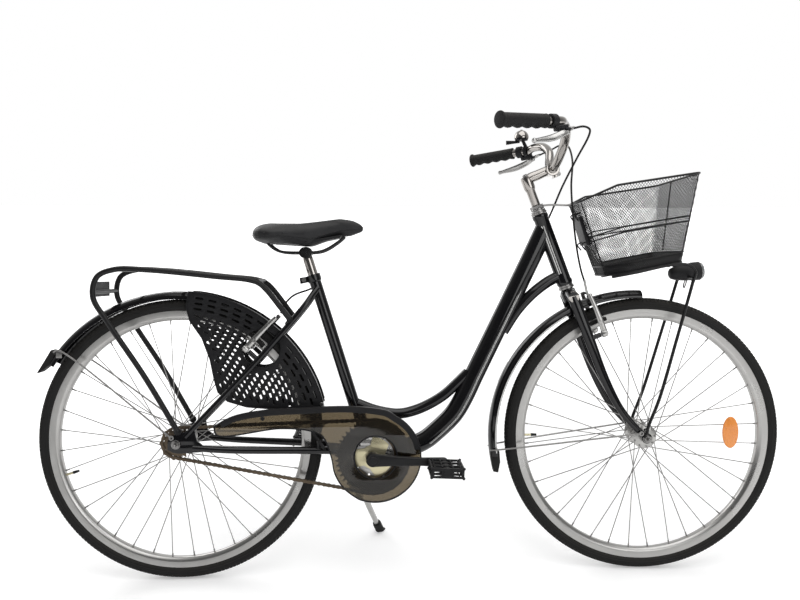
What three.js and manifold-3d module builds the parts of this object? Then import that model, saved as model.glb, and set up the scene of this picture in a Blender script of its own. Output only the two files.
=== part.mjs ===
// City bicycle standing on its kickstand: step-through frame, basket, rack and guards.
// Millimetres. The bicycle is drawn upright in its own axes, with the rear axle's middle at
// the origin, +X forwards, +Y to the rider's left and +Z up. It is then leaned onto the stand.
import * as THREE from 'three';
import { mergeVertices } from 'three/addons/utils/BufferGeometryUtils.js';
import Module from 'manifold-3d';

const wasm = await Module();
wasm.setup();

// ---------------------------------------------------------------- driving dimensions
const WHEEL_RADIUS = 346;           // to the tread of a 35-622 tyre
const TYRE_SECTION = 17.5;          // radius of the tyre's round section
const RIM_OUTER = 318.2;
const WHEELBASE = 1152.6;
const HEAD_ANGLE = THREE.MathUtils.degToRad(69.2);
const STEER_X = 1102.6;             // where the steering axis crosses the axles' height
const LEAN = THREE.MathUtils.degToRad(-9);
const STEER_TURN = THREE.MathUtils.degToRad(-3.33);
const CRANK = { x: 471.5, z: -40, length: 170, drop: THREE.MathUtils.degToRad(2.7) };
const CHAIN_LINE = -44;             // the chain's middle plane
const CHAINRING_PITCH = 89;         // 44 teeth
const SPROCKET_PITCH = 36.6;        // 18 teeth
const SMOOTHING = 0.25;             // detail finer than this is left out of joined shapes
const GROUND = -341.74;             // the floor's height in the leaned axes
// Where each brake boss stands on its stay or blade, and the directions up it and away from it.
const REAR_BRAKE = { foot: [194, 44.5, 199.6], up: [0.692, 0.722], out: [-0.722, 0.692] };
const FRONT_BRAKE = { foot: [1009, 46, 247], up: [-0.355, 0.935], out: [0.935, 0.355] };
const BOSS_LENGTH = 33;
const STAND_PIVOT = [412.8, 25, -78];
const STAND_FOOT = [492.7, 207, -313];

// ---------------------------------------------------------------- materials
const finish = (color, roughness, metalness) =>
  new THREE.MeshStandardMaterial({ color, roughness, metalness });
const PAINT = finish(0x08090a, 0.2, 0.1);
const CHROME = finish(0xc9c9c6, 0.15, 1);
const ALLOY = finish(0xb9bab8, 0.35, 1);
const STEEL = finish(0x8d8d8a, 0.4, 1);
const BRONZE = finish(0x6a5138, 0.5, 0.8);
const BLACK_METAL = finish(0x1a1b1c, 0.5, 0.6);
const BLACK_PLASTIC = finish(0x141516, 0.55, 0);
const RUBBER = finish(0x161616, 0.85, 0);
const SMOKED = finish(0x3b2e1c, 0.2, 0);
const LEATHERETTE = finish(0x1b1c1d, 0.7, 0);
const CLEAR = finish(0xdfe6ea, 0.05, 0);
const AMBER = finish(0xf08a1c, 0.25, 0);
const RED = finish(0xb01515, 0.25, 0);

// ---------------------------------------------------------------- shape helpers
const v = (x, y, z) => new THREE.Vector3(x, y, z);
const vec = (p) => (p.isVector3 ? p : v(...p));
const seatX = (z) => 463 - 0.3105 * (z + 40);
const steerX = (z) => STEER_X - z / Math.tan(HEAD_ANGLE);

function closed(geometry) {
  // One welded shell with its faces turned outwards.
  const bare = new THREE.BufferGeometry();
  bare.setAttribute('position', geometry.attributes.position.clone());
  if (geometry.index) bare.setIndex(geometry.index.clone());
  const shell = mergeVertices(bare, 1e-4);
  const index = shell.index.array;
  const p = shell.attributes.position;
  const [a, b, c] = [v(0, 0, 0), v(0, 0, 0), v(0, 0, 0)];
  const kept = [];
  let volume = 0;
  for (let i = 0; i < index.length; i += 3) {
    const [ia, ib, ic] = [index[i], index[i + 1], index[i + 2]];
    if (ia === ib || ib === ic || ic === ia) continue;
    kept.push(ia, ib, ic);
    a.fromBufferAttribute(p, ia);
    b.fromBufferAttribute(p, ib);
    c.fromBufferAttribute(p, ic);
    volume += a.dot(b.cross(c));
  }
  if (volume < 0) kept.reverse();
  shell.setIndex(kept);
  return shell;
}

function toSolid(geometry) {
  const shell = closed(geometry);
  return new wasm.Manifold(new wasm.Mesh({
    numProp: 3,
    vertProperties: new Float32Array(shell.attributes.position.array),
    triVerts: new Uint32Array(shell.index.array),
  }));
}

function toGeometry(solid) {
  const mesh = solid.simplify(SMOOTHING).getMesh();
  const geometry = new THREE.BufferGeometry();
  geometry.setAttribute('position', new THREE.BufferAttribute(mesh.vertProperties, 3));
  geometry.setIndex(new THREE.BufferAttribute(mesh.triVerts, 1));
  return geometry;
}

const join = (...pieces) => toGeometry(pieces.map(toSolid).reduce((sum, next) => sum.add(next)));
const cut = (base, ...tools) =>
  toGeometry(tools.map(toSolid).reduce((rest, tool) => rest.subtract(tool), toSolid(base)));

function ring(radius, sides, squash = 1) {
  const points = [];
  for (let i = 0; i < sides; i += 1) {
    const angle = (2 * Math.PI * (i + 0.5)) / sides;
    points.push(new THREE.Vector2(radius * Math.cos(angle), radius * squash * Math.sin(angle)));
  }
  return new THREE.Shape(points);
}

function tube(points, radius, { sides = 8, steps = 12 } = {}) {
  // A round bar along a smooth curve through the points.
  const path = new THREE.CatmullRomCurve3(points.map(vec), false, 'centripetal');
  return new THREE.ExtrudeGeometry(ring(radius, sides),
    { steps, bevelEnabled: false, extrudePath: path });
}

function rod(from, to, radius, { sides = 8, endRadius = radius } = {}) {
  const start = vec(from);
  const along = vec(to).clone().sub(start);
  const bar = new THREE.CylinderGeometry(endRadius, radius, along.length(), sides);
  bar.translate(0, along.length() / 2, 0);
  bar.applyQuaternion(new THREE.Quaternion().setFromUnitVectors(v(0, 1, 0),
    along.clone().normalize()));
  return bar.translate(start.x, start.y, start.z);
}

function taperedTube(points, { sides = 10, steps = 12, inPlane, across }) {
  // A tube whose two half-widths change from end to end, for ovalled tubes.
  const path = new THREE.CatmullRomCurve3(points.map(vec), false, 'centripetal');
  const form = new THREE.CylinderGeometry(1, 1, 1, sides, steps);
  const position = form.attributes.position;
  const side = v(0, 1, 0);
  for (let i = 0; i < position.count; i += 1) {
    const t = position.getY(i) + 0.5;
    const centre = path.getPointAt(t);
    const normal = path.getTangentAt(t).cross(side).normalize();
    centre.addScaledVector(normal, position.getX(i) * THREE.MathUtils.lerp(...inPlane, t));
    centre.addScaledVector(side, position.getZ(i) * THREE.MathUtils.lerp(...across, t));
    position.setXYZ(i, centre.x, centre.y, centre.z);
  }
  return form;
}

const lathe = (profile, segments) =>
  new THREE.LatheGeometry(profile.map(([r, y]) => new THREE.Vector2(r, y)), segments);

function plate(outline, y, thickness, holes = []) {
  // A flat plate parallel to the bicycle's middle plane, from an outline of [x, z] points.
  const points = outline.map(([x, z]) => new THREE.Vector2(x, z));
  if (THREE.ShapeUtils.isClockWise(points)) points.reverse();
  const shape = new THREE.Shape(points);
  shape.holes = holes;
  const slab = new THREE.ExtrudeGeometry(shape, { depth: thickness, bevelEnabled: false });
  return slab.rotateX(Math.PI / 2).translate(0, y + thickness / 2, 0);
}

function hole(x, z, radius, sides = 16) {
  const points = [];
  for (let i = 0; i < sides; i += 1) {
    const angle = (-2 * Math.PI * i) / sides;
    points.push(new THREE.Vector2(x + radius * Math.cos(angle), z + radius * Math.sin(angle)));
  }
  return new THREE.Path(points);
}

function arc(x, z, radius, fromDegrees, toDegrees, count) {
  const points = [];
  for (let i = 0; i <= count; i += 1) {
    const angle = THREE.MathUtils.degToRad(fromDegrees + ((toDegrees - fromDegrees) * i) / count);
    points.push([x + radius * Math.cos(angle), z + radius * Math.sin(angle)]);
  }
  return points;
}

const slab = (size, centre) => new THREE.BoxGeometry(...size).translate(...centre);
const across = (x, z, radius, fromY, toY, sides = 12) =>
  rod([x, fromY, z], [x, toY, z], radius, { sides });
const sideName = { [-1]: 'right', 1: 'left' };

function brakePoint(brake, s, along, away) {
  const [x, y, z] = brake.foot;
  return v(x + brake.up[0] * along + brake.out[0] * away, s * y,
    z + brake.up[1] * along + brake.out[1] * away);
}
const brakeBoss = (brake, s) => rod(brakePoint(brake, s, 0, 3),
  brakePoint(brake, s, 0, BOSS_LENGTH), 5, { sides: 6 });

// ---------------------------------------------------------------- the tree of groups
const bicycle = new THREE.Group();
const leaned = new THREE.Group();
leaned.rotation.x = LEAN;
bicycle.add(leaned);

const steering = new THREE.Group();
steering.name = 'steering';
const steerAxis = v(-Math.cos(HEAD_ANGLE), 0, Math.sin(HEAD_ANGLE));
const steerTurn = new THREE.Quaternion().setFromAxisAngle(steerAxis, STEER_TURN);
steering.quaternion.copy(steerTurn);
steering.position.copy(v(STEER_X, 0, 0).sub(v(STEER_X, 0, 0).applyQuaternion(steerTurn)));
leaned.add(steering);

function add(group, name, geometry, material) {
  const mesh = new THREE.Mesh(closed(geometry), material);
  mesh.name = name;
  mesh.geometry.computeVertexNormals();
  group.add(mesh);
}

// ---------------------------------------------------------------- frame
function frameGeometry() {
  const mainTube = taperedTube([
    [912, 0, 535], [866, 0, 437], [777.5, 0, 256], [728, 0, 155], [699.5, 0, 95],
    [675, 0, 55], [634.5, 0, 15], [598.8, 0, -12.3], [540, 0, -33], [485, 0, -40],
  ], { sides: 10, steps: 14, inPlane: [25, 25], across: [17.5, 26] });
  const front = slab([60, 60, 260], [30, 0, 0]);
  front.rotateY(HEAD_ANGLE - Math.PI / 2).translate(steerX(500), 0, 500);
  const upperTube = tube([[430, 0, 85], [480, 0, 66], [535, 0, 57], [574, 0, 64], [615, 0, 81],
    [652, 0, 104], [682, 0, 131], [712, 0, 160]], 13, { sides: 8, steps: 9 });
  const brace = tube([[800, 0, 262], [835, 0, 315], [872, 0, 355], [912, 0, 386],
    [942, 0, 402]], 14, { sides: 8, steps: 5 });
  const headTube = rod([steerX(381), 0, 381], [steerX(556), 0, 556], 18.5, { sides: 12 });
  const seatTube = rod([seatX(-40), 0, -40], [seatX(406), 0, 406], 15.2, { sides: 10 });
  const seatLug = rod([331, 0, 385], [324, 0, 407.5], 18, { sides: 12 });
  const binder = join(slab([20, 7, 14], [306, -6, 392]), slab([20, 7, 14], [306, 6, 392]),
    across(300, 392, 3, -12, 12, 8), across(300, 392, 5.5, 9, 13, 6),
    across(300, 392, 5.5, -13, -9, 6));
  const bottomShell = across(CRANK.x, CRANK.z, 21, -34, 34, 16);
  const pieces = [cut(mainTube, front), upperTube, brace, headTube, seatTube, seatLug, binder,
    bottomShell, across(266, 287, 6, -38, 38, 8), across(384, -27, 6, -30, 30, 8)];
  for (const s of [-1, 1]) {
    pieces.push(
      tube([[456, s * 18, -39], [420, s * 25, -32], [380, s * 30, -27], [300, s * 40, -23],
        [120, s * 56, -16], [44, s * 60, -10]], 9, { steps: 6 }),
      tube([[332, s * 10, 366], [322, s * 22, 352], [305, s * 34, 328], [200, s * 44.5, 206],
        [60, s * 58, 58], [24, s * 60, 20]], 8, { steps: 7 }),
      plate([[-20, -12], [8, -22], [60, -19], [64, -3], [46, 10], [46, 42], [30, 36],
        [-12, 20]], s * 60, 6),
      brakeBoss(REAR_BRAKE, s),
    );
  }
  const bores = [
    rod([steerX(300), 0, 300], [steerX(600), 0, 600], 15, { sides: 12 }),
    rod([seatX(130), 0, 130], [seatX(430), 0, 430], 13.4, { sides: 16 }),
    across(CRANK.x, CRANK.z, 12, -50, 50, 12),
    across(0, 0, 5.4, -80, 80, 10),
  ];
  return cut(join(...pieces), ...bores);
}
add(leaned, 'main_frame', frameGeometry(), PAINT);

function cup(lowZ, highZ, radius, bore) {
  const low = [steerX(lowZ), 0, lowZ];
  const high = [steerX(highZ), 0, highZ];
  const span = vec(high).sub(vec(low)).multiplyScalar(0.2);
  return cut(rod(low, high, radius, { sides: 16 }),
    rod(vec(low).sub(span), vec(high).add(span), bore, { sides: 16 }));
}
add(leaned, 'lower_headset_cup', cup(370, 380.6, 19.5, 14), STEEL);
add(leaned, 'upper_headset_cup', cup(556.4, 566, 20, 14), STEEL);

// ---------------------------------------------------------------- fork, stem and bar
function forkGeometry() {
  const pieces = [
    rod([steerX(350), 0, 350], [steerX(576), 0, 576], 12.7, { sides: 12 }),
    rod([steerX(341), 0, 341], [steerX(369.6), 0, 369.6], 19, { sides: 12 }),
    across(steerX(351), 351, 15, -50, 50, 12),
  ];
  for (const s of [-1, 1]) {
    pieces.push(
      taperedTube([[steerX(350), s * 42, 350], [steerX(232), s * 46, 232],
        [steerX(165), s * 47, 165], [1068, s * 48, 105], [1088, s * 48.5, 68],
        [1114, s * 49.5, 34], [1147, s * 50.5, 4.5]],
      { sides: 8, steps: 8, inPlane: [15, 8], across: [9, 4] }),
      plate(arc(WHEELBASE, 0, 13, 0, 330, 11), s * 53, 5),
      brakeBoss(FRONT_BRAKE, s),
      across(1150, 24, 4, s * 50.5, s * 55.5, 6),
      rod([1150, s * 53, 24], [1150, s * 53, 6], 2.4, { sides: 6 }),
    );
  }
  return cut(join(...pieces), rod([steerX(420), 0, 420], [steerX(600), 0, 600], 11.4,
    { sides: 12 }), across(WHEELBASE, 0, 5.2, -70, 70, 10));
}
add(steering, 'fork', forkGeometry(), PAINT);

const CLAMP = [920, 0, 667];
const GRIP_END = v(753, 300, 733);
const GRIP_IN = v(861.5, 231, 743);
const gripAxis = GRIP_IN.clone().sub(GRIP_END).normalize();
const onGrip = (distance) => GRIP_END.clone().addScaledVector(gripAxis, distance);
const toSide = (point, s) => v(point.x, point.y * s, point.z);

function barPoints() {
  const half = [v(920, 14, 667), v(920, 26, 667), v(927, 60, 690), v(933, 92, 722),
    v(926, 132, 744), v(908, 178, 750), onGrip(172), onGrip(150), onGrip(128), onGrip(70),
    onGrip(1)];
  return [...half.map((p) => toSide(p, -1)).reverse(), v(...CLAMP), ...half];
}
add(steering, 'handlebar', tube(barPoints(), 11.1, { sides: 8, steps: 48 }), CHROME);

add(steering, 'stem', cut(
  join(rod([steerX(450), 0, 450], [steerX(640), 0, 640], 11, { sides: 12 }),
    rod([steerX(618), 0, 618], [steerX(652), 0, 652], 14, { sides: 12, endRadius: 13 }),
    tube([[steerX(636), 0, 636], [882, 0, 650], CLAMP], 11.5, { sides: 10, steps: 4 }),
    across(CLAMP[0], CLAMP[2], 17, -21, 21, 16)),
  across(CLAMP[0], CLAMP[2], 11.9, -40, 40, 16)), CHROME);

function onBar(geometry, s, distance) {
  // Turns a piece drawn about the Y axis onto the straight end of the handlebar.
  const axis = v(gripAxis.x, gripAxis.y * s, gripAxis.z);
  geometry.applyQuaternion(new THREE.Quaternion().setFromUnitVectors(v(0, 1, 0), axis));
  const place = toSide(onGrip(distance), s);
  return geometry.translate(place.x, place.y, place.z);
}

const LEVER_PIVOT = v(910, 212, 722);
const LEVER_TIP = v(828, 272, 694);
for (const s of [-1, 1]) {
  add(steering, `${sideName[s]}_grip`, onBar(lathe([[0, -4], [18.5, -4], [18.5, 0],
    [15.3, 3], [15.3, 127], [11.6, 127], [11.6, 0.4], [0, 0.4]], 16), s, 0), RUBBER);
  const collar = onBar(lathe([[11.9, -8], [16, -8], [16, 8], [11.9, 8], [11.9, -8]], 14),
    s, 147);
  const pivot = toSide(LEVER_PIVOT, s);
  const shelf = v(pivot.x, pivot.y, pivot.z + 10);
  const under = onGrip(147).add(v(4.7, 4.9, -17));
  const body = join(rod(toSide(under, s), v(pivot.x, pivot.y, pivot.z + 8.8), 4.3),
    rod(v(pivot.x, pivot.y, pivot.z + 4), shelf, 9, { sides: 10 }));
  add(steering, `${sideName[s]}_lever_bracket`, join(collar, body), BLACK_PLASTIC);
  const tip = toSide(LEVER_TIP, s);
  add(steering, `${sideName[s]}_brake_lever`, join(
    across(0, 0, 7, -3.4, 3.4, 10).rotateX(Math.PI / 2).translate(pivot.x, pivot.y, pivot.z),
    rod([pivot.x - 2, pivot.y, pivot.z], [pivot.x - 8, pivot.y + s * 22, pivot.z - 4], 3.4),
    rod([pivot.x - 7, pivot.y + s * 20, pivot.z - 4], tip, 5, { endRadius: 4 }),
    new THREE.SphereGeometry(6, 8, 6).translate(tip.x, tip.y, tip.z)), ALLOY);
}

const BELL = v(876, 192, 784);
add(steering, 'bell_base', join(
  onBar(lathe([[11.8, -5], [14.5, -5], [14.5, 5], [11.8, 5], [11.8, -5]], 14), 1, 165),
  rod([890, 208, 759], [BELL.x + 2, BELL.y + 3, BELL.z - 9], 4),
  rod([BELL.x, BELL.y, BELL.z - 12], [BELL.x, BELL.y, BELL.z - 7], 18, { sides: 12 }),
), BLACK_PLASTIC);
add(steering, 'bell_dome', lathe([[0, 16], [9, 14], [16, 8.5], [20, 0], [20, -6.6], [18.4, -6.6],
  [18.2, 0], [14.6, 7.4], [8.2, 12.4], [0, 14]], 12).rotateX(Math.PI / 2)
  .translate(BELL.x, BELL.y, BELL.z), CHROME);
add(steering, 'bell_thumb_lever', rod([BELL.x - 4, BELL.y + 4, BELL.z - 15.5],
  [BELL.x - 40, BELL.y + 16, BELL.z - 15.5], 3, { sides: 6 }), BLACK_PLASTIC);

// ---------------------------------------------------------------- basket and headlight
const BASKET = {
  plan: [[976, -65], [1042, -152], [1222, -152], [1236, -138], [1236, 138], [1222, 152],
    [1042, 152], [976, 65]],
  floorRear: 1044, floorFront: 1210, floorTaper: 0.76, wall: 2,
};

function basketForm(inset, floorLift, rimLift) {
  // The plan outline drawn from the floor up to a rim that drops towards the head tube.
  const [middleX, middleY] = [1106, 0];
  const shape = new THREE.Shape(BASKET.plan.map(([x, y]) => new THREE.Vector2(
    x + Math.sign(middleX - x) * inset, y + Math.sign(middleY - y) * inset)));
  const form = new THREE.ExtrudeGeometry(shape, { depth: 1, bevelEnabled: false });
  const p = form.attributes.position;
  const { mapLinear } = THREE.MathUtils;
  for (let i = 0; i < p.count; i += 1) {
    const [x, y, top] = [p.getX(i), p.getY(i), p.getZ(i) > 0.5];
    if (top) {
      const rim = x < 1050 ? mapLinear(x, 976, 1042, 582, 613) : mapLinear(x, 1042, 1236, 613, 642);
      p.setZ(i, rim + rimLift);
    } else {
      const floorX = mapLinear(x, 976, 1236, BASKET.floorRear, BASKET.floorFront);
      p.setXYZ(i, floorX, y * BASKET.floorTaper,
        mapLinear(floorX, 1044, 1210, 403, 437) + floorLift);
    }
  }
  return form;
}
const rimSlope = 12;
add(steering, 'basket', cut(basketForm(0, 0, 0), basketForm(BASKET.wall, BASKET.wall, rimSlope)),
  BLACK_METAL);

const rodPieces = [rod([1200, -49, 427], [1200, 49, 427], 3.5, { sides: 6 })];
for (const s of [-1, 1]) {
  rodPieces.push(tube([[1150, s * 60, 24], [1178, s * 60.7, 99], [1220, s * 56, 247],
    [1261, s * 51.3, 392], [1266, s * 50, 412], [1250, s * 49, 427], [1213, s * 49, 430],
    [1120, s * 49, 411]], 4, { sides: 6, steps: 16 }), across(1150, 24, 7, s * 56, s * 62, 8));
}
add(steering, 'basket_support_rods', join(...rodPieces), BLACK_METAL);
add(steering, 'headset_locknut', join(cup(566.5, 578, 17, 13.2),
  rod([899, 0, 579], [972, 0, 579], 2.8, { sides: 6 })), STEEL);
add(steering, 'headlight_housing', rod([1218, 0, 406], [1292, 0, 414], 14,
  { sides: 16, endRadius: 22 }), BLACK_PLASTIC);
add(steering, 'headlight_lens', lathe([[0, 0.3], [21.5, 0.3], [21.5, 4], [14, 9], [0, 11]], 16)
  .rotateZ(-Math.PI / 2).rotateY(-0.107).translate(1292, 0, 414), CLEAR);

// ---------------------------------------------------------------- mudguards and their stays
function mudguard(centre, radius, fromDegrees, toDegrees, steps) {
  // A rolled channel section carried round an arc.
  const section = new THREE.Shape();
  const outer = [];
  for (let i = 0; i <= 6; i += 1) {
    const angle = Math.PI * (1 - i / 6);
    outer.push([24.5 * Math.cos(angle), 18 * Math.sin(angle) - 18]);
  }
  const inner = outer.map(([x, z]) => [x * 0.91, z - 2]).reverse();
  section.setFromPoints([...outer, ...inner].map((p) => new THREE.Vector2(...p)));
  const points = arc(centre[0], centre[1], radius, fromDegrees, toDegrees, steps);
  const path = new THREE.CatmullRomCurve3(points.map(([x, z]) => v(x, 0, z)));
  return new THREE.ExtrudeGeometry(section, { steps, bevelEnabled: false, extrudePath: path });
}
function stays(axle, edge, over) {
  // A wire bow: up one side, across the guard's back and down the other side.
  const thin = { sides: 5 };
  const pieces = [rod([over[0], -edge[1], over[1]], [over[0], edge[1], over[1]], 2.2, thin)];
  for (const s of [-1, 1]) {
    pieces.push(rod([axle[0], s * axle[1], axle[2]], [edge[0], s * edge[1], edge[2]], 2.2, thin),
      rod([edge[0], s * edge[1], edge[2] - 1], [over[0], s * edge[1], over[1]], 2.2, thin),
      across(axle[0], axle[2], 6, s * (axle[1] - 2), s * (axle[1] + 2), 8));
  }
  return join(...pieces);
}
add(leaned, 'rear_mudguard', join(mudguard([-6, 0], 366, 12, 148, 20),
  stays([-9, 67, 17], [-286, 29, 225], [-299, 219.5])), PAINT);
add(steering, 'front_mudguard', join(mudguard([1133, -2], 368, 88, 188.5, 15),
  plate([[768, -50], [776, -93], [790, -97], [793, -50]], 0, 32),
  stays([1136, 61, 14], [778, 29, -36], [768, -37.5])), PAINT);

// ---------------------------------------------------------------- wheels
const tyreSection = [];
for (let angle = -126; angle <= 126; angle += 42) {
  const a = THREE.MathUtils.degToRad(angle);
  tyreSection.push([WHEEL_RADIUS - TYRE_SECTION + TYRE_SECTION * Math.cos(a),
    TYRE_SECTION * Math.sin(a)]);
}
tyreSection.push(tyreSection[0]);
const FLANGE = 31;                  // each hub flange's distance from the middle plane
const rimSection = [[RIM_OUTER, -13], [RIM_OUTER, 13], [303, 13], [295, 7], [295, -7],
  [303, -13], [RIM_OUTER, -13]];

function spokes(s, phase) {
  // One side's flange with its eighteen tangential spokes, on its two faces by turns.
  const pieces = [lathe([[17, s * FLANGE - 1.5], [30, s * FLANGE - 1.5], [30, s * FLANGE + 1.5],
    [17, s * FLANGE + 1.5], [17, s * FLANGE - 1.5]], 18)];
  for (let i = 0; i < 18; i += 1) {
    const atRim = THREE.MathUtils.degToRad(i * 20 + phase);
    const atHub = atRim + THREE.MathUtils.degToRad(i % 2 ? 62 : -62);
    const face = s * FLANGE + (i % 2 ? 2 : -2);
    pieces.push(rod([26 * Math.cos(atHub), face, 26 * Math.sin(atHub)],
      [293 * Math.cos(atRim), s * 4 + (i % 2 ? 1 : -1), 293 * Math.sin(atRim)], 1, { sides: 3 }));
  }
  return join(...pieces);
}

function wheel(group, end, x, hubProfile, axle) {
  const at = (geometry) => geometry.translate(x, 0, 0);
  add(group, `${end}_tyre`, at(lathe(tyreSection, 36)), RUBBER);
  add(group, `${end}_rim`, at(lathe(rimSection, 36)), ALLOY);
  add(group, `${end}_hub`, at(lathe(hubProfile, 14)), ALLOY);
  for (const s of [-1, 1]) {
    add(group, `${end}_spokes_${sideName[s]}`, at(spokes(s, s * 5)), STEEL);
  }
  add(group, `${end}_axle`, at(join(across(0, 0, 4.8, -axle.end, axle.end, 10),
    across(0, 0, 9.5, -axle.nut - 8, -axle.nut, 6), across(0, 0, 9.5, axle.nut, axle.nut + 8, 6))),
  STEEL);
}

wheel(steering, 'front', WHEELBASE, [[5.4, -46], [9, -46], [12, -35], [16.6, -33],
  [16.6, -29], [13, -22], [13, 22], [16.6, 29], [16.6, 33], [12, 35], [9, 46], [5.4, 46],
  [5.4, -46]], { end: 71, nut: 55.9 });
wheel(leaned, 'rear', 0, [[5.6, -36], [16.6, -36], [16.6, -28], [15, -24], [15, 24],
  [16.6, 29], [16.6, 33], [12, 35], [9, 54], [5.6, 54], [5.6, -36]], { end: 78, nut: 63.4 });

add(steering, 'spoke_reflector', slab([43, 5, 83], [0, -22, 0]).rotateY(0.06)
  .translate(1372, -2, 8), AMBER);

// ---------------------------------------------------------------- drive
function beltOutline(grow) {
  // The taut loop round the sprocket and the chainring, grown or shrunk by grow.
  const big = CHAINRING_PITCH + grow;
  const small = SPROCKET_PITCH + grow;
  const slope = Math.atan2(CRANK.z, CRANK.x);
  const wrap = Math.asin((big - small) / Math.hypot(CRANK.x, CRANK.z));
  const up = THREE.MathUtils.radToDeg(slope + Math.PI / 2 + wrap);
  const down = THREE.MathUtils.radToDeg(slope - Math.PI / 2 - wrap);
  return [...arc(CRANK.x, CRANK.z, big, up, down, 20), ...arc(0, 0, small, down, up - 360, 10)];
}
const inside = new THREE.Path(beltOutline(-4).reverse().map((p) => new THREE.Vector2(...p)));
add(leaned, 'chain', plate(beltOutline(4), CHAIN_LINE, 6, [inside]), BRONZE);
add(leaned, 'sprocket', lathe([[5.9, -53], [16, -53], [21, -48], [32.2, CHAIN_LINE - 1.5],
  [32.2, CHAIN_LINE + 1.5], [21, -38], [17, -36.4], [5.9, -36.4], [5.9, -53]], 18), BRONZE);

const ringHoles = [hole(0, 0, 9.2, 12)];
for (let i = 0; i < 5; i += 1) {
  const angle = (2 * Math.PI * i) / 5;
  ringHoles.push(hole(54 * Math.cos(angle), 54 * Math.sin(angle), 19, 12));
}
const chainring = join(plate(arc(0, 0, 84.6, 0, 345, 23), CHAIN_LINE, 3, ringHoles),
  cut(across(0, 0, 14, -66, CHAIN_LINE, 14), across(0, 0, 9, -100, 0, 12)));
add(leaned, 'crank_spindle', across(CRANK.x, CRANK.z, 8.7, -82, 82, 12), STEEL);

function crankArm(s) {
  // Drawn forwards from the spindle, then turned to its own side.
  const reach = CRANK.length;
  const shape = [...arc(0, 0, 16, 70, 290, 8), ...arc(reach, 0, 11, -80, 80, 6)];
  const arm = cut(join(plate(shape, s * 76, 13), across(0, 0, 17, s * 62, s * 80, 14)),
    across(0, 0, 9, -100, 100, 12));
  const pedalPin = across(reach, 0, 6, s * 80, s * 172, 8);
  return (s < 0 ? join(arm, pedalPin, chainring) : join(arm, pedalPin))
    .rotateY(CRANK.drop + (s > 0 ? Math.PI : 0)).translate(CRANK.x, 0, CRANK.z);
}
for (const s of [-1, 1]) {
  add(leaned, `${sideName[s]}_crank`, crankArm(s), BLACK_METAL);
  const turn = CRANK.drop + (s > 0 ? Math.PI : 0);
  const body = plate([[-41, -8], [-36, -13], [36, -13], [41, -8], [41, 8], [36, 13], [-36, 13],
    [-41, 8]], s * 132, 84, [hole(0, 0, 7, 12)]);
  add(leaned, `${sideName[s]}_pedal`, body.translate(
    CRANK.x + CRANK.length * Math.cos(turn), 0, CRANK.z - CRANK.length * Math.sin(turn)),
  BLACK_PLASTIC);
}

// ---------------------------------------------------------------- guards
const guardTop = [[90, 42], [133, 64], [206, 78], [300, 83], [400, 86], [463, 82], [509, 73],
  ...arc(478, -38, 110, 62, -112, 14)];
const guardOutline = [...guardTop, [400, -112], [379, -77], [370, -34], [349, 16], [318, 29],
  [248, 35], [96, 21]];
function chainGuardGeometry() {
  const band = guardTop.map(([x, z], i) => {
    const before = guardTop[Math.max(i - 1, 0)];
    const after = guardTop[Math.min(i + 1, guardTop.length - 1)];
    const length = Math.hypot(after[0] - before[0], after[1] - before[1]);
    return [x + (3 * (after[1] - before[1])) / length, z - (3 * (after[0] - before[0])) / length];
  });
  return join(plate(guardOutline, -58.5, 3, [hole(478, -38, 53, 24)]),
    plate([...guardTop, ...band.reverse()], -53.6, 11));
}
add(leaned, 'chain_guard', chainGuardGeometry(), SMOKED);

const coatOutline = [...arc(-6, 0, 367, 15, 85, 12), [16, 350], [28, 295], [57, 252], [76, 200],
  [85, 153], [94, 120], [117, 97], [163, 83], [240, 76], [345, 79]];
for (const s of [-1, 1]) {
  add(leaned, `coat_guard_${sideName[s]}`,
    plate(coatOutline, s * 27.2, 2.4, [hole(200, 226, 46, 24)]), BLACK_PLASTIC);
}

// ---------------------------------------------------------------- rack
function rackGeometry() {
  const pieces = [
    across(-132, 419, 5.5, -78, 78, 8), across(-182, 366, 5.5, -80, 80, 8),
    across(0, 413, 5, -70, 70, 8), across(100, 402, 5, -66, 66, 8),
    across(196, 391, 5, -60, 60, 8),
    rod([-134, -24, 420], [196, -24, 391.5], 3, { sides: 6 }),
    rod([-134, 24, 420], [196, 24, 391.5], 3, { sides: 6 }),
  ];
  for (const s of [-1, 1]) {
    pieces.push(tube([[8, s * 74, 34], [-66, s * 77, 165], [-150, s * 80, 297],
      [-182, s * 80, 355], [-172, s * 79, 402], [-132, s * 78, 419], [-60, s * 74, 418],
      [100, s * 66, 402], [180, s * 60, 393], [204, s * 58, 383], [272, s * 53.5, 299]], 6.8,
    { sides: 6, steps: 24 }), across(8, 34, 8.5, s * 70.4, s * 78, 8));
  }
  return join(...pieces);
}
add(leaned, 'rear_rack', rackGeometry(), BLACK_METAL);
add(leaned, 'rear_reflector', slab([9, 92, 40], [-193.5, 0, 372]), RED);

// ---------------------------------------------------------------- brakes
function brakeArm(brake, s) {
  // An arm on its boss, with the shoe that faces the rim's side.
  const point = (along, away = BOSS_LENGTH + 7) => brakePoint(brake, s, along, away);
  const shoeEnd = (away) => point(29, away).setY(s * 20.2);
  return join(
    rod(point(0, BOSS_LENGTH + 0.5), point(0, BOSS_LENGTH + 10), 9, { sides: 10 }),
    rod(point(0), point(104).setY(s * 38), 6.5, { sides: 6, endRadius: 4.5 }),
    rod(point(29).setY(s * 22), point(29), 4, { sides: 6 }),
    rod(shoeEnd(BOSS_LENGTH - 20), shoeEnd(BOSS_LENGTH + 30), 4.5, { sides: 6 }),
  );
}
for (const s of [-1, 1]) {
  add(leaned, `rear_brake_arm_${sideName[s]}`, brakeArm(REAR_BRAKE, s), ALLOY);
  add(steering, `front_brake_arm_${sideName[s]}`, brakeArm(FRONT_BRAKE, s), ALLOY);
}

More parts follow.
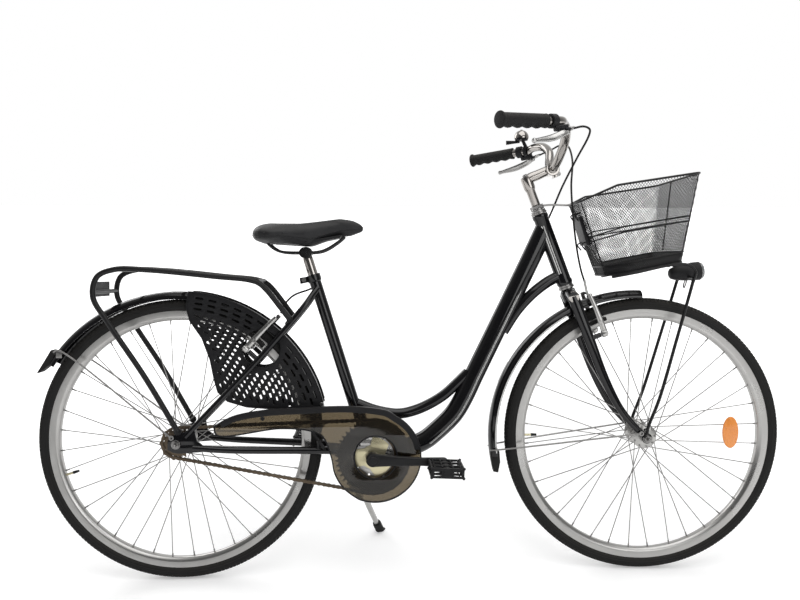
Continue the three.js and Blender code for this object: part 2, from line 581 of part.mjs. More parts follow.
// ---------------------------------------------------------------- cables
add(leaned, 'rear_brake_cable', tube([[860, 29, 425], [778, 29.5, 256], [728, 29.5, 155],
  [690, 29.5, 78], [640, 29.5, 16], [598, 30, -14], [545, 30, -30], [500, 30, -24],
  [458, 28, 10], [432, 20, 60], [414, 19, 118], [350, 19, 322], [332, 22, 372], [305, 30, 366],
  [270, 38, 352], [245, 38, 324]], 2.5, { sides: 5, steps: 44 }), RUBBER);
add(leaned, 'rear_brake_cable_upper', tube([[925, -206, 730], [955, -190, 734], [968, -150, 722],
  [958, -90, 680], [940, -30, 620], [925, 14, 562], [905, 27, 515], [862.5, 29, 430]], 2.5,
{ sides: 5, steps: 22 }), RUBBER);
add(steering, 'front_brake_cable', tube([[925, 206, 730], [950, 190, 742], [966, 130, 748],
  [975, 60, 735], [975, 10, 690], [966, -20, 620], [975, -28, 500], [992, -30, 420],
  [1012, -32, 384]], 2.5, { sides: 5, steps: 24 }), RUBBER);

// ---------------------------------------------------------------- saddle
const saddleSide = [[178, 490], [182, 521], [200, 534], [295, 535], [361, 541], [410, 547],
  [438, 541], [457, 518], [443, 508], [396, 501], [356, 489], [323, 478], [281, 478], [241, 484]];
const saddlePlan = [[178, 52], [188, 80], [212, 94], [255, 90], [300, 62], [345, 40], [415, 28],
  [448, 16], [458, 0]];
function saddleGeometry() {
  const outline = [...saddlePlan, ...saddlePlan.slice(0, -1).reverse().map(([x, y]) => [x, -y])];
  const shape = new THREE.Shape(outline.map((p) => new THREE.Vector2(...p)));
  const plan = new THREE.ExtrudeGeometry(shape, { depth: 120, bevelEnabled: false });
  return toGeometry(toSolid(plate(saddleSide, 0, 220))
    .intersect(toSolid(plan.translate(0, 0, 450))));
}
add(leaned, 'saddle', saddleGeometry(), LEATHERETTE);

function rails(radius) {
  const pieces = [rod([404, -17, 496], [404, 17, 496], radius, { sides: 6 })];
  for (const s of [-1, 1]) {
    pieces.push(tube([[222, s * 25, 478], [246, s * 22, 463], [300, s * 22, 460],
      [350, s * 22, 464], [404, s * 16, 496]], radius, { sides: 6, steps: 8 }));
  }
  return join(...pieces);
}
add(leaned, 'saddle_rails', rails(3.5), STEEL);
const postTop = [seatX(456), 0, 456];
const postBottom = [seatX(253), 0, 253];
add(leaned, 'seat_post', cut(join(rod(postBottom, postTop, 12.7, { sides: 12 }),
  across(308, 460, 14, -30, 30, 12)), rails(3.9)), ALLOY);

// ---------------------------------------------------------------- kickstand
const standAxis = vec(STAND_FOOT).clone().sub(vec(STAND_PIVOT));
const standAt = (t) => vec(STAND_PIVOT).clone().addScaledVector(standAxis, t);
add(leaned, 'kickstand_bracket', join(slab([46, 44, 8], [412, 2, -51]),
  slab([26, 18, 20], [412, 6, -62])), ALLOY);
add(leaned, 'kickstand_leg', join(rod(standAt(0), standAt(0.91), 8, { sides: 10 }),
  new THREE.SphereGeometry(9.5, 10, 8).translate(...STAND_PIVOT)), ALLOY);
function standFoot() {
  const block = rod(standAt(0.86), standAt(1.05), 11, { sides: 12 });
  const floor = slab([80, 80, 60], [492, 150, GROUND - 30]);
  floor.applyMatrix4(new THREE.Matrix4().makeRotationX(-LEAN));
  return cut(block, floor, rod(standAt(0.5), standAt(0.9125), 8.4, { sides: 10 }));
}
add(leaned, 'kickstand_foot', standFoot(), RUBBER);

// ---------------------------------------------------------------- stand it on the floor
bicycle.updateMatrixWorld(true);
const bounds = new THREE.Box3().setFromObject(bicycle, true);
leaned.position.set(-(bounds.min.x + bounds.max.x) / 2, -(bounds.min.y + bounds.max.y) / 2,
  -bounds.min.z);

export default bicycle;
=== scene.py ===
# %% [markdown]
# A step-through city bicycle stands on its side stand. This file builds how it looks, piece by
# piece, round the plain solids that hold its sizes and its moving parts. Lengths are written in
# millimetres in the bicycle's own axes: the rear axle is the origin, +X points forwards, +Y to
# the rider's left and +Z up. One matrix leans every piece over onto the stand.

# %% Load the frame
import math
from functools import partial
import bmesh
import bpy
from mathutils import Matrix, Vector
from mathutils.bvhtree import BVHTree


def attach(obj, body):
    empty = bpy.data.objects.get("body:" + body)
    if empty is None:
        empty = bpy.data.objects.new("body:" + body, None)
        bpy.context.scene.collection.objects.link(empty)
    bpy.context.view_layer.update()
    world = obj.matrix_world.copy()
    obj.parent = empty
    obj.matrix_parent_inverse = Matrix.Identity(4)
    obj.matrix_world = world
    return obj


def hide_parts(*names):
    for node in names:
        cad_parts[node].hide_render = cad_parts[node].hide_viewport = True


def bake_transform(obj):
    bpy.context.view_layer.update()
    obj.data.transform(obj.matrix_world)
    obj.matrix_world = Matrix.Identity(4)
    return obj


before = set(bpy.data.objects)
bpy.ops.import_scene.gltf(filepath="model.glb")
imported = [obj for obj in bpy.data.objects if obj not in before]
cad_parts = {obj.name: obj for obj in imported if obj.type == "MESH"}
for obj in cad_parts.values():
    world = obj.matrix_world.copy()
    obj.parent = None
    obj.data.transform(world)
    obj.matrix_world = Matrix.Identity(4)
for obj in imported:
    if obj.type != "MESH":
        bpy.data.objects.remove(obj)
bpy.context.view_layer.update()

# %% [markdown]
# The real bicycle leans nine degrees to its left, and its bars are turned a little. Both are
# kept as matrices, so each piece can be drawn upright and straight and then be put in place
# through its mesh, which leaves its object at the origin.

# %% The two frames of reference
REAR_AXLE = (-0.5760078, -0.1182236, 0.3423868)   # in metres, in the frame's own axes
LEAN, BARS_TURN, HEAD = math.radians(-9), math.radians(-3.33), math.radians(69.2)
STEER_X = 1102.6                                  # where the steering axis passes axle height
FRONT_AXLE_X = 1152.6
CRANK_X, CRANK_Z = 471.5, -40.0
BIKE = (Matrix.Translation(REAR_AXLE) @ Matrix.Rotation(LEAN, 4, "X") @ Matrix.Scale(0.001, 4))
TO_BIKE = BIKE.inverted()
STEER_AXIS = Vector((-math.cos(HEAD), 0, math.sin(HEAD)))
STEER_FOOT = Vector((STEER_X, 0, 0))
BARS = (BIKE @ Matrix.Translation(STEER_FOOT)
        @ Matrix.Rotation(BARS_TURN, 4, STEER_AXIS) @ Matrix.Translation(-STEER_FOOT))
SEAT_AXIS = Vector((-0.2965, 0, 0.955))


def steer_x(z):
    """The steering axis's x at a height."""
    return STEER_X - z / math.tan(HEAD)


def seat_x(z):
    """The seat tube's x at a height."""
    return 463 - 0.3105 * (z + 40)


print("steering axis at the crown", round(steer_x(350), 1))

# %% [markdown]
# Materials, the room's light and Geometry Nodes are all trees of nodes, so one helper adds a
# node and sets or links its inputs in the same line.

# %% Add a node
def put(tree, kind, inputs=(), **settings):
    """A node whose inputs are linked from sockets or set to plain values."""
    node = tree.nodes.new(kind)
    for key, value in settings.items():
        setattr(node, key, value)
    for key, value in dict(inputs).items():
        if isinstance(value, bpy.types.NodeSocket):
            tree.links.new(value, node.inputs[key])
        else:
            node.inputs[key].default_value = value
    return node


# %% [markdown]
# Everything sits on a pale floor under large soft lamps, as in a quiet studio. One wide lamp
# above gives the long highlights on the paint, and two at the sides keep the spokes bright. The
# room is white to look at, but it lights and mirrors less from the front, so black stays black.

# %% Camera, lamps and room
scene = bpy.context.scene
camera = bpy.data.objects.new("camera", bpy.data.cameras.new("camera"))
camera.data.lens = 31.864
camera.data.sensor_width = 36
camera.location = (-0.11732, -1.80002, 1.01569)
camera.rotation_euler = [math.radians(a) for a in (79.0801, -0.2999, -2.6435)]
scene.collection.objects.link(camera)
scene.camera = camera
scene.render.resolution_x, scene.render.resolution_y = 800, 600


def lamp(name, place, aim, size, watts):
    """A square soft lamp that looks at a point."""
    light = bpy.data.lights.new(name, "AREA")
    light.shape, light.size, light.energy = "SQUARE", size, watts
    obj = bpy.data.objects.new(name, light)
    obj.location = place
    obj.rotation_euler = (Vector(aim) - Vector(place)).to_track_quat("-Z", "Y").to_euler()
    scene.collection.objects.link(obj)


lamp("lamp_above", (0.3, -0.6, 3.2), (0, 0, 0.4), 3.0, 62)
lamp("lamp_front", (1.6, -3.0, 1.9), (0.1, 0, 0.5), 2.0, 36)
lamp("lamp_back", (-2.2, 2.4, 2.2), (0, 0, 0.4), 2.0, 34)
world = bpy.data.worlds.new("room")
world.use_nodes = True
sky = world.node_tree
split = put(sky, "ShaderNodeSeparateXYZ",
            {0: put(sky, "ShaderNodeTexCoord").outputs["Generated"]})
fade = put(sky, "ShaderNodeMapRange", {"Value": split.outputs["Y"], "From Min": -0.6,
           "From Max": 0.9, "To Min": 0.12, "To Max": 0.9})
ray = put(sky, "ShaderNodeLightPath")
strength = put(sky, "ShaderNodeMath", {0: fade.outputs[0], 1: ray.outputs["Is Camera Ray"]},
               operation="MAXIMUM")
sky.links.new(strength.outputs[0], sky.nodes["Background"].inputs["Strength"])
sky.nodes["Background"].inputs["Color"].default_value = (1, 1, 1, 1)
scene.world = world
scene.view_settings.view_transform = "Standard"
print("lamps", len(bpy.data.lights))

# %% [markdown]
# Real surfaces are never one flat colour. A shared shader group supplies a fine grain, a slow
# cloudiness and a dust mask for faces that look up, all from the piece's own coordinates. Each
# finish mixes those masks into its colour, roughness and relief.

# %% The shared weathering group
def shader_group(name, takes, gives):
    """An empty shader node group with its sockets made."""
    tree = bpy.data.node_groups.new(name, "ShaderNodeTree")
    for label, kind, value in takes:
        socket = tree.interface.new_socket(label, in_out="INPUT", socket_type=kind)
        socket.default_value = value
    for label, kind in gives:
        tree.interface.new_socket(label, in_out="OUTPUT", socket_type=kind)
    return tree, tree.nodes.new("NodeGroupInput"), tree.nodes.new("NodeGroupOutput")


weather, seen, out = shader_group("weather", [
    ("Grain size", "NodeSocketFloat", 900.0), ("Grain depth", "NodeSocketFloat", 0.1),
    ("Cloud size", "NodeSocketFloat", 9.0)],
    [("Grain", "NodeSocketFloat"), ("Cloud", "NodeSocketFloat"), ("Dust", "NodeSocketFloat"),
     ("Normal", "NodeSocketVector")])
here = put(weather, "ShaderNodeTexCoord")
grain = put(weather, "ShaderNodeTexNoise", {"Vector": here.outputs["Object"],
            "Scale": seen.outputs["Grain size"], "Detail": 3.0})
cloud = put(weather, "ShaderNodeTexNoise", {"Vector": here.outputs["Object"],
            "Scale": seen.outputs["Cloud size"], "Detail": 5.0, "Roughness": 0.6})
facing = put(weather, "ShaderNodeSeparateXYZ",
             {0: put(weather, "ShaderNodeNewGeometry").outputs["Normal"]})
upward = put(weather, "ShaderNodeMapRange", {"Value": facing.outputs["Z"], "From Min": 0.2,
             "From Max": 1.0, "To Max": 1.0})
dust = put(weather, "ShaderNodeMath", {0: upward.outputs[0], 1: cloud.outputs[0]},
           operation="MULTIPLY")
relief = put(weather, "ShaderNodeBump", {"Height": grain.outputs[0], "Distance": 0.001,
             "Strength": seen.outputs["Grain depth"]})
for label, socket in (("Grain", grain.outputs[0]), ("Cloud", cloud.outputs[0]),
                      ("Dust", dust.outputs[0]), ("Normal", relief.outputs[0])):
    weather.links.new(socket, out.inputs[label])
print("weather gives", [s.name for s in out.inputs if s.name])


# %% [markdown]
# One function makes a finish from two colours, two roughness values and the depth of its grain.
# The two ends of each pair are what cleaner and duller spots of the same surface look like.

# %% Make a finish
FINISH = {}


def finish(name, clean, dull, rough, metal=0.0, grain=900.0, depth=0.08, dusty=0.12, **more):
    """A material between a clean and a dull state, with dust where faces look up."""
    mat = bpy.data.materials.new(name)
    mat.use_nodes = True
    tree = mat.node_tree
    shader = tree.nodes["Principled BSDF"]
    shader.inputs["Metallic"].default_value = metal
    for key, value in more.items():
        shader.inputs[key.replace("_", " ")].default_value = value
    worn = put(tree, "ShaderNodeGroup", node_tree=weather)
    worn.inputs["Grain size"].default_value = grain
    worn.inputs["Grain depth"].default_value = depth
    tone = put(tree, "ShaderNodeMix", {"Factor": worn.outputs["Cloud"],
               6: (*clean, 1), 7: (*dull, 1)}, data_type="RGBA")
    dust_share = put(tree, "ShaderNodeMath", {0: worn.outputs["Dust"], 1: dusty},
                     operation="MULTIPLY")
    colour = put(tree, "ShaderNodeMix", {"Factor": dust_share.outputs[0], 6: tone.outputs[2],
                 7: (0.42, 0.39, 0.34, 1)}, data_type="RGBA")
    gloss = put(tree, "ShaderNodeMapRange", {"Value": worn.outputs["Cloud"], "From Min": 0.3,
                "From Max": 0.7, "To Min": rough[0], "To Max": rough[1]})
    tree.links.new(colour.outputs[2], shader.inputs["Base Color"])
    tree.links.new(gloss.outputs[0], shader.inputs["Roughness"])
    tree.links.new(worn.outputs["Normal"], shader.inputs["Normal"])
    FINISH[name] = mat
    return mat


finish("gloss_black", (0.002, 0.002, 0.0025), (0.004, 0.004, 0.005), (0.07, 0.14), 0.0,
       1400, 0.015, 0.03, Coat_Weight=0.15, Coat_Roughness=0.04, Specular_IOR_Level=0.3)
finish("satin_black", (0.005, 0.005, 0.006), (0.01, 0.01, 0.01), (0.32, 0.46), 0.0,
       1600, 0.12, 0.05, Specular_IOR_Level=0.22)
finish("chrome", (0.37, 0.35, 0.33), (0.28, 0.265, 0.25), (0.06, 0.16), 1.0, 1200, 0.02, 0.04)
finish("alloy", (0.44, 0.435, 0.425), (0.34, 0.335, 0.325), (0.24, 0.36), 1.0, 1800, 0.08, 0.06)
finish("steel", (0.28, 0.275, 0.27), (0.2, 0.195, 0.19), (0.26, 0.4), 1.0, 1500, 0.06, 0.06)
finish("chain_steel", (0.13, 0.1, 0.07), (0.07, 0.055, 0.04), (0.32, 0.55), 0.9, 1200, 0.2, 0.1)
finish("pale_gold", (0.62, 0.57, 0.38), (0.48, 0.44, 0.29), (0.25, 0.38), 0.9, 1200, 0.08, 0.05)
finish("black_plastic", (0.005, 0.005, 0.006), (0.011, 0.011, 0.012), (0.38, 0.55), 0.0,
       2200, 0.25, 0.06, Specular_IOR_Level=0.2)
finish("rubber", (0.006, 0.006, 0.006), (0.014, 0.0135, 0.013), (0.62, 0.8), 0.0, 1800, 0.3, 0.1,
       Specular_IOR_Level=0.2)
finish("tread", (0.007, 0.007, 0.007), (0.016, 0.0155, 0.015), (0.66, 0.86), 0.0, 1500, 0.4,
       0.12, Specular_IOR_Level=0.2)
finish("leatherette", (0.006, 0.006, 0.007), (0.012, 0.012, 0.013), (0.42, 0.58), 0.0,
       700, 0.55, 0.06, Specular_IOR_Level=0.28)
finish("silver_print", (0.62, 0.62, 0.61), (0.48, 0.48, 0.47), (0.28, 0.42), 0.7, 1500, 0.05)
# A pale grey-white used only for the painted highlight on the front guard, standing in for light
# glinting on its gloss paint.
finish("painted_highlight_white", (0.7, 0.71, 0.72), (0.55, 0.56, 0.57), (0.3, 0.5), 0.0, 1500, 0.05)
finish("red_plastic", (0.5, 0.012, 0.012), (0.34, 0.01, 0.01), (0.12, 0.22), 0.0, 1200, 0.1)
finish("smoked_plastic", (0.13, 0.102, 0.062), (0.1, 0.078, 0.048), (0.04, 0.09), 0.0, 1500,
       0.02, 0.01, Transmission_Weight=0.96, IOR=1.46)
finish("clear_lens", (0.95, 0.96, 0.97), (0.86, 0.88, 0.9), (0.03, 0.08), 0.0, 1500, 0.02,
       0.03, Transmission_Weight=0.9, IOR=1.47)


# %% [markdown]
# A reflector is a tray of tiny prisms behind a clear face. A cell pattern tilts the surface in
# facets, so it glitters instead of shining like paint.

# %% Reflector finish
def reflector_finish(name, bright, deep):
    """A finish whose surface tilts in small facets."""
    mat = finish(name, bright, deep, (0.08, 0.18), 0.0, 900, 0.03, 0.03, Coat_Weight=0.7)
    tree = mat.node_tree
    where = put(tree, "ShaderNodeTexCoord")
    cells = put(tree, "ShaderNodeTexVoronoi", {"Vector": where.outputs["Object"],
                "Scale": 330.0})
    facets = put(tree, "ShaderNodeBump", {"Height": cells.outputs["Distance"],
                 "Distance": 0.002, "Strength": 0.8})
    tree.links.new(facets.outputs[0], tree.nodes["Principled BSDF"].inputs["Normal"])


reflector_finish("amber_reflector", (0.9, 0.32, 0.03), (0.62, 0.17, 0.015))
print("finishes", len(FINISH))


# %% [markdown]
# Most of a bicycle is tube. A tube is a section carried along a path, so three helpers do most
# of the work: one rounds a row of points into a smooth path, one carries a section along it, and
# one turns a profile round an axis. Each gives a shell: a list of points and a list of faces.

# %% Paths and carried sections
def smooth_path(points, step=6.0):
    """Points every few millimetres along a rounded curve through the given ones."""
    p = [Vector(q) for q in points]
    if len(p) == 2:
        count = max(1, round((p[1] - p[0]).length / step / 4))
        return [p[0].lerp(p[1], i / count) for i in range(count + 1)]
    p = [2 * p[0] - p[1], *p, 2 * p[-1] - p[-2]]
    path = [p[1]]
    for a, b, c, d in zip(p, p[1:], p[2:], p[3:]):
        t = [0.0]
        for q, r in ((a, b), (b, c), (c, d)):
            t.append(t[-1] + max((r - q).length, 1e-6) ** 0.5)
        count = max(2, round((c - b).length / step))
        for i in range(1, count + 1):
            u = t[1] + (t[2] - t[1]) * i / count
            one = [a.lerp(b, (u - t[0]) / (t[1] - t[0])), b.lerp(c, (u - t[1]) / (t[2] - t[1])),
                   c.lerp(d, (u - t[2]) / (t[3] - t[2]))]
            two = [one[0].lerp(one[1], (u - t[0]) / (t[2] - t[0])),
                   one[1].lerp(one[2], (u - t[1]) / (t[3] - t[1]))]
            path.append(two[0].lerp(two[1], (u - t[1]) / (t[2] - t[1])))
    return path


def round_section(radius, other=None, sides=18):
    """A round or oval section as (up, sideways) pairs."""
    other = radius if other is None else other
    turns = [2 * math.pi * i / sides for i in range(sides)]
    return [(radius * math.cos(a), other * math.sin(a)) for a in turns]


def carry(path, section, side=None, open_section=False, loop=False):
    """A section, or a function of 0 to 1 that gives one, carried along a path."""
    last = len(path) - 1
    points, faces = [], []
    normal = None
    for i, here in enumerate(path):
        before, after = path[max(i - 1, 0)], path[min(i + 1, last)]
        if loop:
            before, after = path[i - 1], path[(i + 1) % len(path)]
        along = (after - before).normalized()
        if side is not None:
            normal = along.cross(Vector(side)).normalized()
        elif normal is None:
            normal = along.orthogonal().normalized()
        else:
            normal = (normal - along * normal.dot(along)).normalized()
        across = along.cross(normal)
        ring = section(i / last) if callable(section) else section
        points += [here + normal * a + across * b for a, b in ring]
    n = len(ring)
    spans = len(path) if loop else last
    for i in range(spans):
        j = (i + 1) % len(path)
        for k in range(n - 1 if open_section else n):
            m = (k + 1) % n
            faces.append((i * n + k, i * n + m, j * n + m, j * n + k))
    if not loop and not open_section:
        faces += [tuple(reversed(range(n))), tuple(range(last * n, last * n + n))]
    return points, faces


def tube(points, radius, sides=16, step=6.0):
    """A round bar along a smooth path; the radius may be a function of 0 to 1."""
    path = smooth_path(points, step)
    if callable(radius):
        return carry(path, lambda t: round_section(radius(t), sides=sides))
    return carry(path, round_section(radius, sides=sides))


def turned(profile, at=(0, 0, 0), axis=(0, 1, 0), segments=48):
    """(radius, height) pairs turned round an axis; ends on the axis close to a point."""
    axis = Vector(axis).normalized()
    u = axis.orthogonal().normalized()
    w = axis.cross(u)
    at = Vector(at)
    points, rings, faces = [], [], []
    for r, h in profile:
        if r < 1e-6:
            rings.append([len(points)] * segments)
            points.append(at + axis * h)
            continue
        rings.append([len(points) + k for k in range(segments)])
        turns = [2 * math.pi * k / segments for k in range(segments)]
        points += [at + axis * h + (u * math.cos(a) + w * math.sin(a)) * r for a in turns]
    for low, high in zip(rings, rings[1:]):
        for k in range(segments):
            m = (k + 1) % segments
            corners = dict.fromkeys((low[k], low[m], high[m], high[k]))
            if len(corners) > 2:
                faces.append(tuple(corners))
    return points, faces


def sleeve(inner, outer, low, high):
    """The profile of a plain ring, for turned()."""
    return [(inner, low), (outer, low), (outer, high), (inner, high), (inner, low)]


def ball(at, radius, segments=16):
    """A sphere."""
    turns = [math.pi * i / 8 for i in range(9)]
    return turned([(abs(radius * math.sin(a)), -radius * math.cos(a)) for a in turns], at,
                  segments=segments)


def disc(at, axis, radius, thickness, edge=0.6, segments=32):
    """A short round piece with softened edges, centred at a point."""
    h = thickness / 2
    return turned([(0, -h), (radius - edge, -h), (radius, -h + edge), (radius, h - edge),
                   (radius - edge, h), (0, h)], at, axis, segments)


def nut(at, axis, radius, thickness):
    """A six-sided piece with softened edges."""
    return disc(at, axis, radius, thickness, edge=0.8, segments=6)


def together(*shells):
    """Several shells as one."""
    points, faces = [], []
    for more_points, more_faces in shells:
        base = len(points)
        points += more_points
        faces += [tuple(k + base for k in f) for f in more_faces]
    return points, faces


def both_sides(make):
    """The same shell made for the right, -1, and the left, 1."""
    return together(make(-1), make(1))


print("a test path has", len(smooth_path([(0, 0, 0), (50, 0, 0), (90, 40, 0)])), "points")

# %% [markdown]
# Flat pieces, such as the guards and the fork ends, are stamped and moulded with softened edges.
# A filled 2D curve does that well: it takes holes, and its bevel rounds every edge at once.

# %% Boards with holes
def board(outline, y, thickness, holes=(), bevel=0.8):
    """A plate parallel to the bicycle's middle plane from (x, z) outlines."""
    curve = bpy.data.curves.new("board", "CURVE")
    curve.dimensions, curve.fill_mode = "2D", "BOTH"
    curve.extrude, curve.bevel_depth = thickness / 2 - bevel, bevel
    curve.bevel_resolution, curve.offset = 2, -bevel
    for ring in (outline, *holes):
        spline = curve.splines.new("POLY")
        spline.points.add(len(ring) - 1)
        spline.points.foreach_set("co", [c for x, z in ring for c in (x, z, 0, 1)])
        spline.use_cyclic_u = True
    obj = bpy.data.objects.new("board", curve)
    mesh = bpy.data.meshes.new_from_object(obj)
    points = [Vector((v.co.x, y - v.co.z, v.co.y)) for v in mesh.vertices]
    faces = [tuple(f.vertices) for f in mesh.polygons]
    bpy.data.objects.remove(obj)
    return points, faces


def circle(x, z, radius, count=32):
    """The corners of a round outline."""
    turns = [2 * math.pi * i / count for i in range(count)]
    return [(x + radius * math.cos(a), z + radius * math.sin(a)) for a in turns]


def arc(x, z, radius, start, end, count):
    """Points along part of a circle, between two angles in degrees."""
    turns = [math.radians(start + (end - start) * i / count) for i in range(count + 1)]
    return [(x + radius * math.cos(a), z + radius * math.sin(a)) for a in turns]


# %% [markdown]
# A finished piece is one plain mesh. Its doubles are merged, its faces are turned outwards, and
# it gets smooth shading with sharp edges kept where the surface really turns.

# %% Show a piece
made = {}


def show(name, shape, body, finish_name, stands_for=(), place=BIKE, sharp=35, flip=True):
    """Makes the piece's object, gives it its finish and ties it to its body."""
    if isinstance(shape, bpy.types.Mesh):
        mesh = shape
    else:
        mesh = bpy.data.meshes.new(name)
        mesh.from_pydata([tuple(p) for p in shape[0]], [], shape[1])
    mesh.transform(place)
    if flip:
        work = bmesh.new()
        work.from_mesh(mesh)
        bmesh.ops.remove_doubles(work, verts=work.verts, dist=2e-6)
        bmesh.ops.recalc_face_normals(work, faces=work.faces)
        work.to_mesh(mesh)
        work.free()
    mesh.shade_smooth()
    mesh.set_sharp_from_angle(angle=math.radians(sharp))
    mesh.materials.clear()
    mesh.materials.append(FINISH[finish_name])
    obj = bpy.data.objects.new(name, mesh)
    scene.collection.objects.link(obj)
    if body:
        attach(obj, body)
    if stands_for:
        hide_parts(*stands_for)
    made[name] = len(mesh.polygons)
    return obj


# %% [markdown]
# Spokes, tread blocks, chain links and teeth repeat by rule, so Geometry Nodes place them. Two
# trees cover them all: one sets copies round an axle, and one sets copies along a path.

# %% Geometry Nodes that repeat a piece
def recipe(name, *takes):
    """A geometry tree with a Geometry input, named inputs and a Geometry output."""
    tree = bpy.data.node_groups.new(name, "GeometryNodeTree")
    tree.interface.new_socket("Geometry", in_out="INPUT", socket_type="NodeSocketGeometry")
    for label, kind in takes:
        tree.interface.new_socket(label, in_out="INPUT", socket_type=kind)
    tree.interface.new_socket("Finish", in_out="INPUT", socket_type="NodeSocketMaterial")
    tree.interface.new_socket("Geometry", in_out="OUTPUT", socket_type="NodeSocketGeometry")
    return tree, tree.nodes.new("NodeGroupInput").outputs


def serve(tree, takes, geometry):
    """Ends a tree: the copies are made real and get their material."""
    real = put(tree, "GeometryNodeRealizeInstances", {"Geometry": geometry})
    coated = put(tree, "GeometryNodeSetMaterial", {"Geometry": real.outputs[0],
                 "Material": takes["Finish"]})
    tree.links.new(coated.outputs[0], tree.nodes.new("NodeGroupOutput").inputs["Geometry"])


round_axle, takes = recipe("round_the_axle", ("Copies", "NodeSocketInt"))
line = put(round_axle, "GeometryNodeMeshLine", {"Count": takes["Copies"], "Offset": (0, 0, 0)})
share = put(round_axle, "ShaderNodeMath", {0: math.tau, 1: takes["Copies"]},
            operation="DIVIDE")
turn = put(round_axle, "ShaderNodeMath", {
    0: put(round_axle, "GeometryNodeInputIndex").outputs[0], 1: share.outputs[0]},
    operation="MULTIPLY")
spin = put(round_axle, "ShaderNodeCombineXYZ", {"Y": turn.outputs[0]})
copies = put(round_axle, "GeometryNodeInstanceOnPoints", {"Points": line.outputs[0],
             "Instance": takes["Geometry"], "Rotation": spin.outputs[0]})
serve(round_axle, takes, copies.outputs[0])

along_path, takes = recipe("along_the_path", ("Copies", "NodeSocketInt"),
                           ("Link", "NodeSocketObject"))
dots = put(along_path, "GeometryNodeCurveToPoints", {"Curve": takes["Geometry"],
           "Count": takes["Copies"]})
link = put(along_path, "GeometryNodeObjectInfo", {"Object": takes["Link"]})
facing_on = put(along_path, "FunctionNodeAxesToRotation", {
    0: dots.outputs["Tangent"], 1: (0, 1, 0)}, primary_axis="X", secondary_axis="Y")
links = put(along_path, "GeometryNodeInstanceOnPoints", {"Points": dots.outputs[0],
            "Instance": link.outputs["Geometry"], "Rotation": facing_on.outputs[0]})
serve(along_path, takes, links.outputs[0])

wires, takes = recipe("wires_along_curves", ("Radius", "NodeSocketFloat"))
thin = put(wires, "GeometryNodeCurvePrimitiveCircle", {"Radius": takes["Radius"],
           "Resolution": 6})
drawn = put(wires, "GeometryNodeCurveToMesh", {"Curve": takes["Geometry"],
            "Profile Curve": thin.outputs[0], "Fill Caps": True})
serve(wires, takes, drawn.outputs[0])


def source_mesh(shell):
    mesh = bpy.data.meshes.new("source")
    mesh.from_pydata([tuple(p) for p in shell[0]], [], shell[1])
    return mesh


def source_curve(lines, closed=False):
    curve = bpy.data.curves.new("source", "CURVE")
    curve.dimensions = "3D"
    for points in lines:
        spline = curve.splines.new("POLY")
        spline.points.add(len(points) - 1)
        spline.points.foreach_set("co", [c for p in points for c in (*p, 1)])
        spline.use_cyclic_u = closed
    return curve


def grow(tree, source, finish_name, **values):
    """Runs a tree on a source and gives back the plain mesh it makes."""
    obj = bpy.data.objects.new("source", source)
    scene.collection.objects.link(obj)
    modifier = obj.modifiers.new(tree.name, "NODES")
    modifier.node_group = tree
    values["Finish"] = FINISH[finish_name]
    for item in tree.interface.items_tree:
        if item.in_out == "INPUT" and item.name in values:
            modifier[item.identifier] = values[item.name]
    grown = bpy.data.meshes.new_from_object(obj.evaluated_get(
        bpy.context.evaluated_depsgraph_get()))
    bpy.data.objects.remove(obj)
    return grown


test = grow(round_axle, source_mesh(disc((10, 0, 0), (0, 1, 0), 1, 1)), "steel", Copies=5)
print("five copies have", len(test.polygons), "faces")


# %% [markdown]
# The frame is a low step-through one in gloss black. One fat oval tube sweeps down from the head
# tube, widening sideways as it nears the cranks. A thinner tube rises from it to the seat tube,
# and a short brace props it under the head tube.

# %% The frame
MAIN_PATH = smooth_path([(906, 0, 522), (866, 0, 437), (777.5, 0, 256), (728, 0, 155),
                         (699.5, 0, 95), (675, 0, 55), (634.5, 0, 15), (598.8, 0, -12.3),
                         (540, 0, -33), (482, 0, -40)], 5)


def main_section(t):
    """The main tube's section, which widens sideways towards the cranks."""
    return round_section(24.5, 17.5 + 8 * t, sides=40)


def stay_set(s):
    """One side's chain stay, seat stay, fork end and brake boss."""
    chain_stay = tube([(456, s * 18, -39), (420, s * 25, -32), (380, s * 30, -27),
                       (300, s * 40, -23), (120, s * 56, -16), (40, s * 60, -9)],
                      lambda t: 10 - 2.2 * t)
    seat_stay = tube([(336, s * 9, 372), (326, s * 19, 358), (305, s * 34, 328),
                      (200, s * 44.5, 206), (60, s * 58, 58), (22, s * 60, 18)],
                     lambda t: 8.2 - 1.2 * t)
    end = board([(-20, -12), (-6, -20), (8, -22), (60, -19), (66, -10), (64, -3), (50, 8),
                 (46, 26), (44, 42), (34, 40), (22, 30), (4, 26), (-12, 20), (-19, 8)], s * 60,
                5.5, [circle(0, 0, 5.5)])
    boss = tube([(191.8, s * 44.5, 201.7), (171.5, s * 44.5, 221.2)], 6)
    bridge_lug = ball((266, s * 37, 287), 7.5)
    return together(chain_stay, seat_stay, end, boss, bridge_lug)


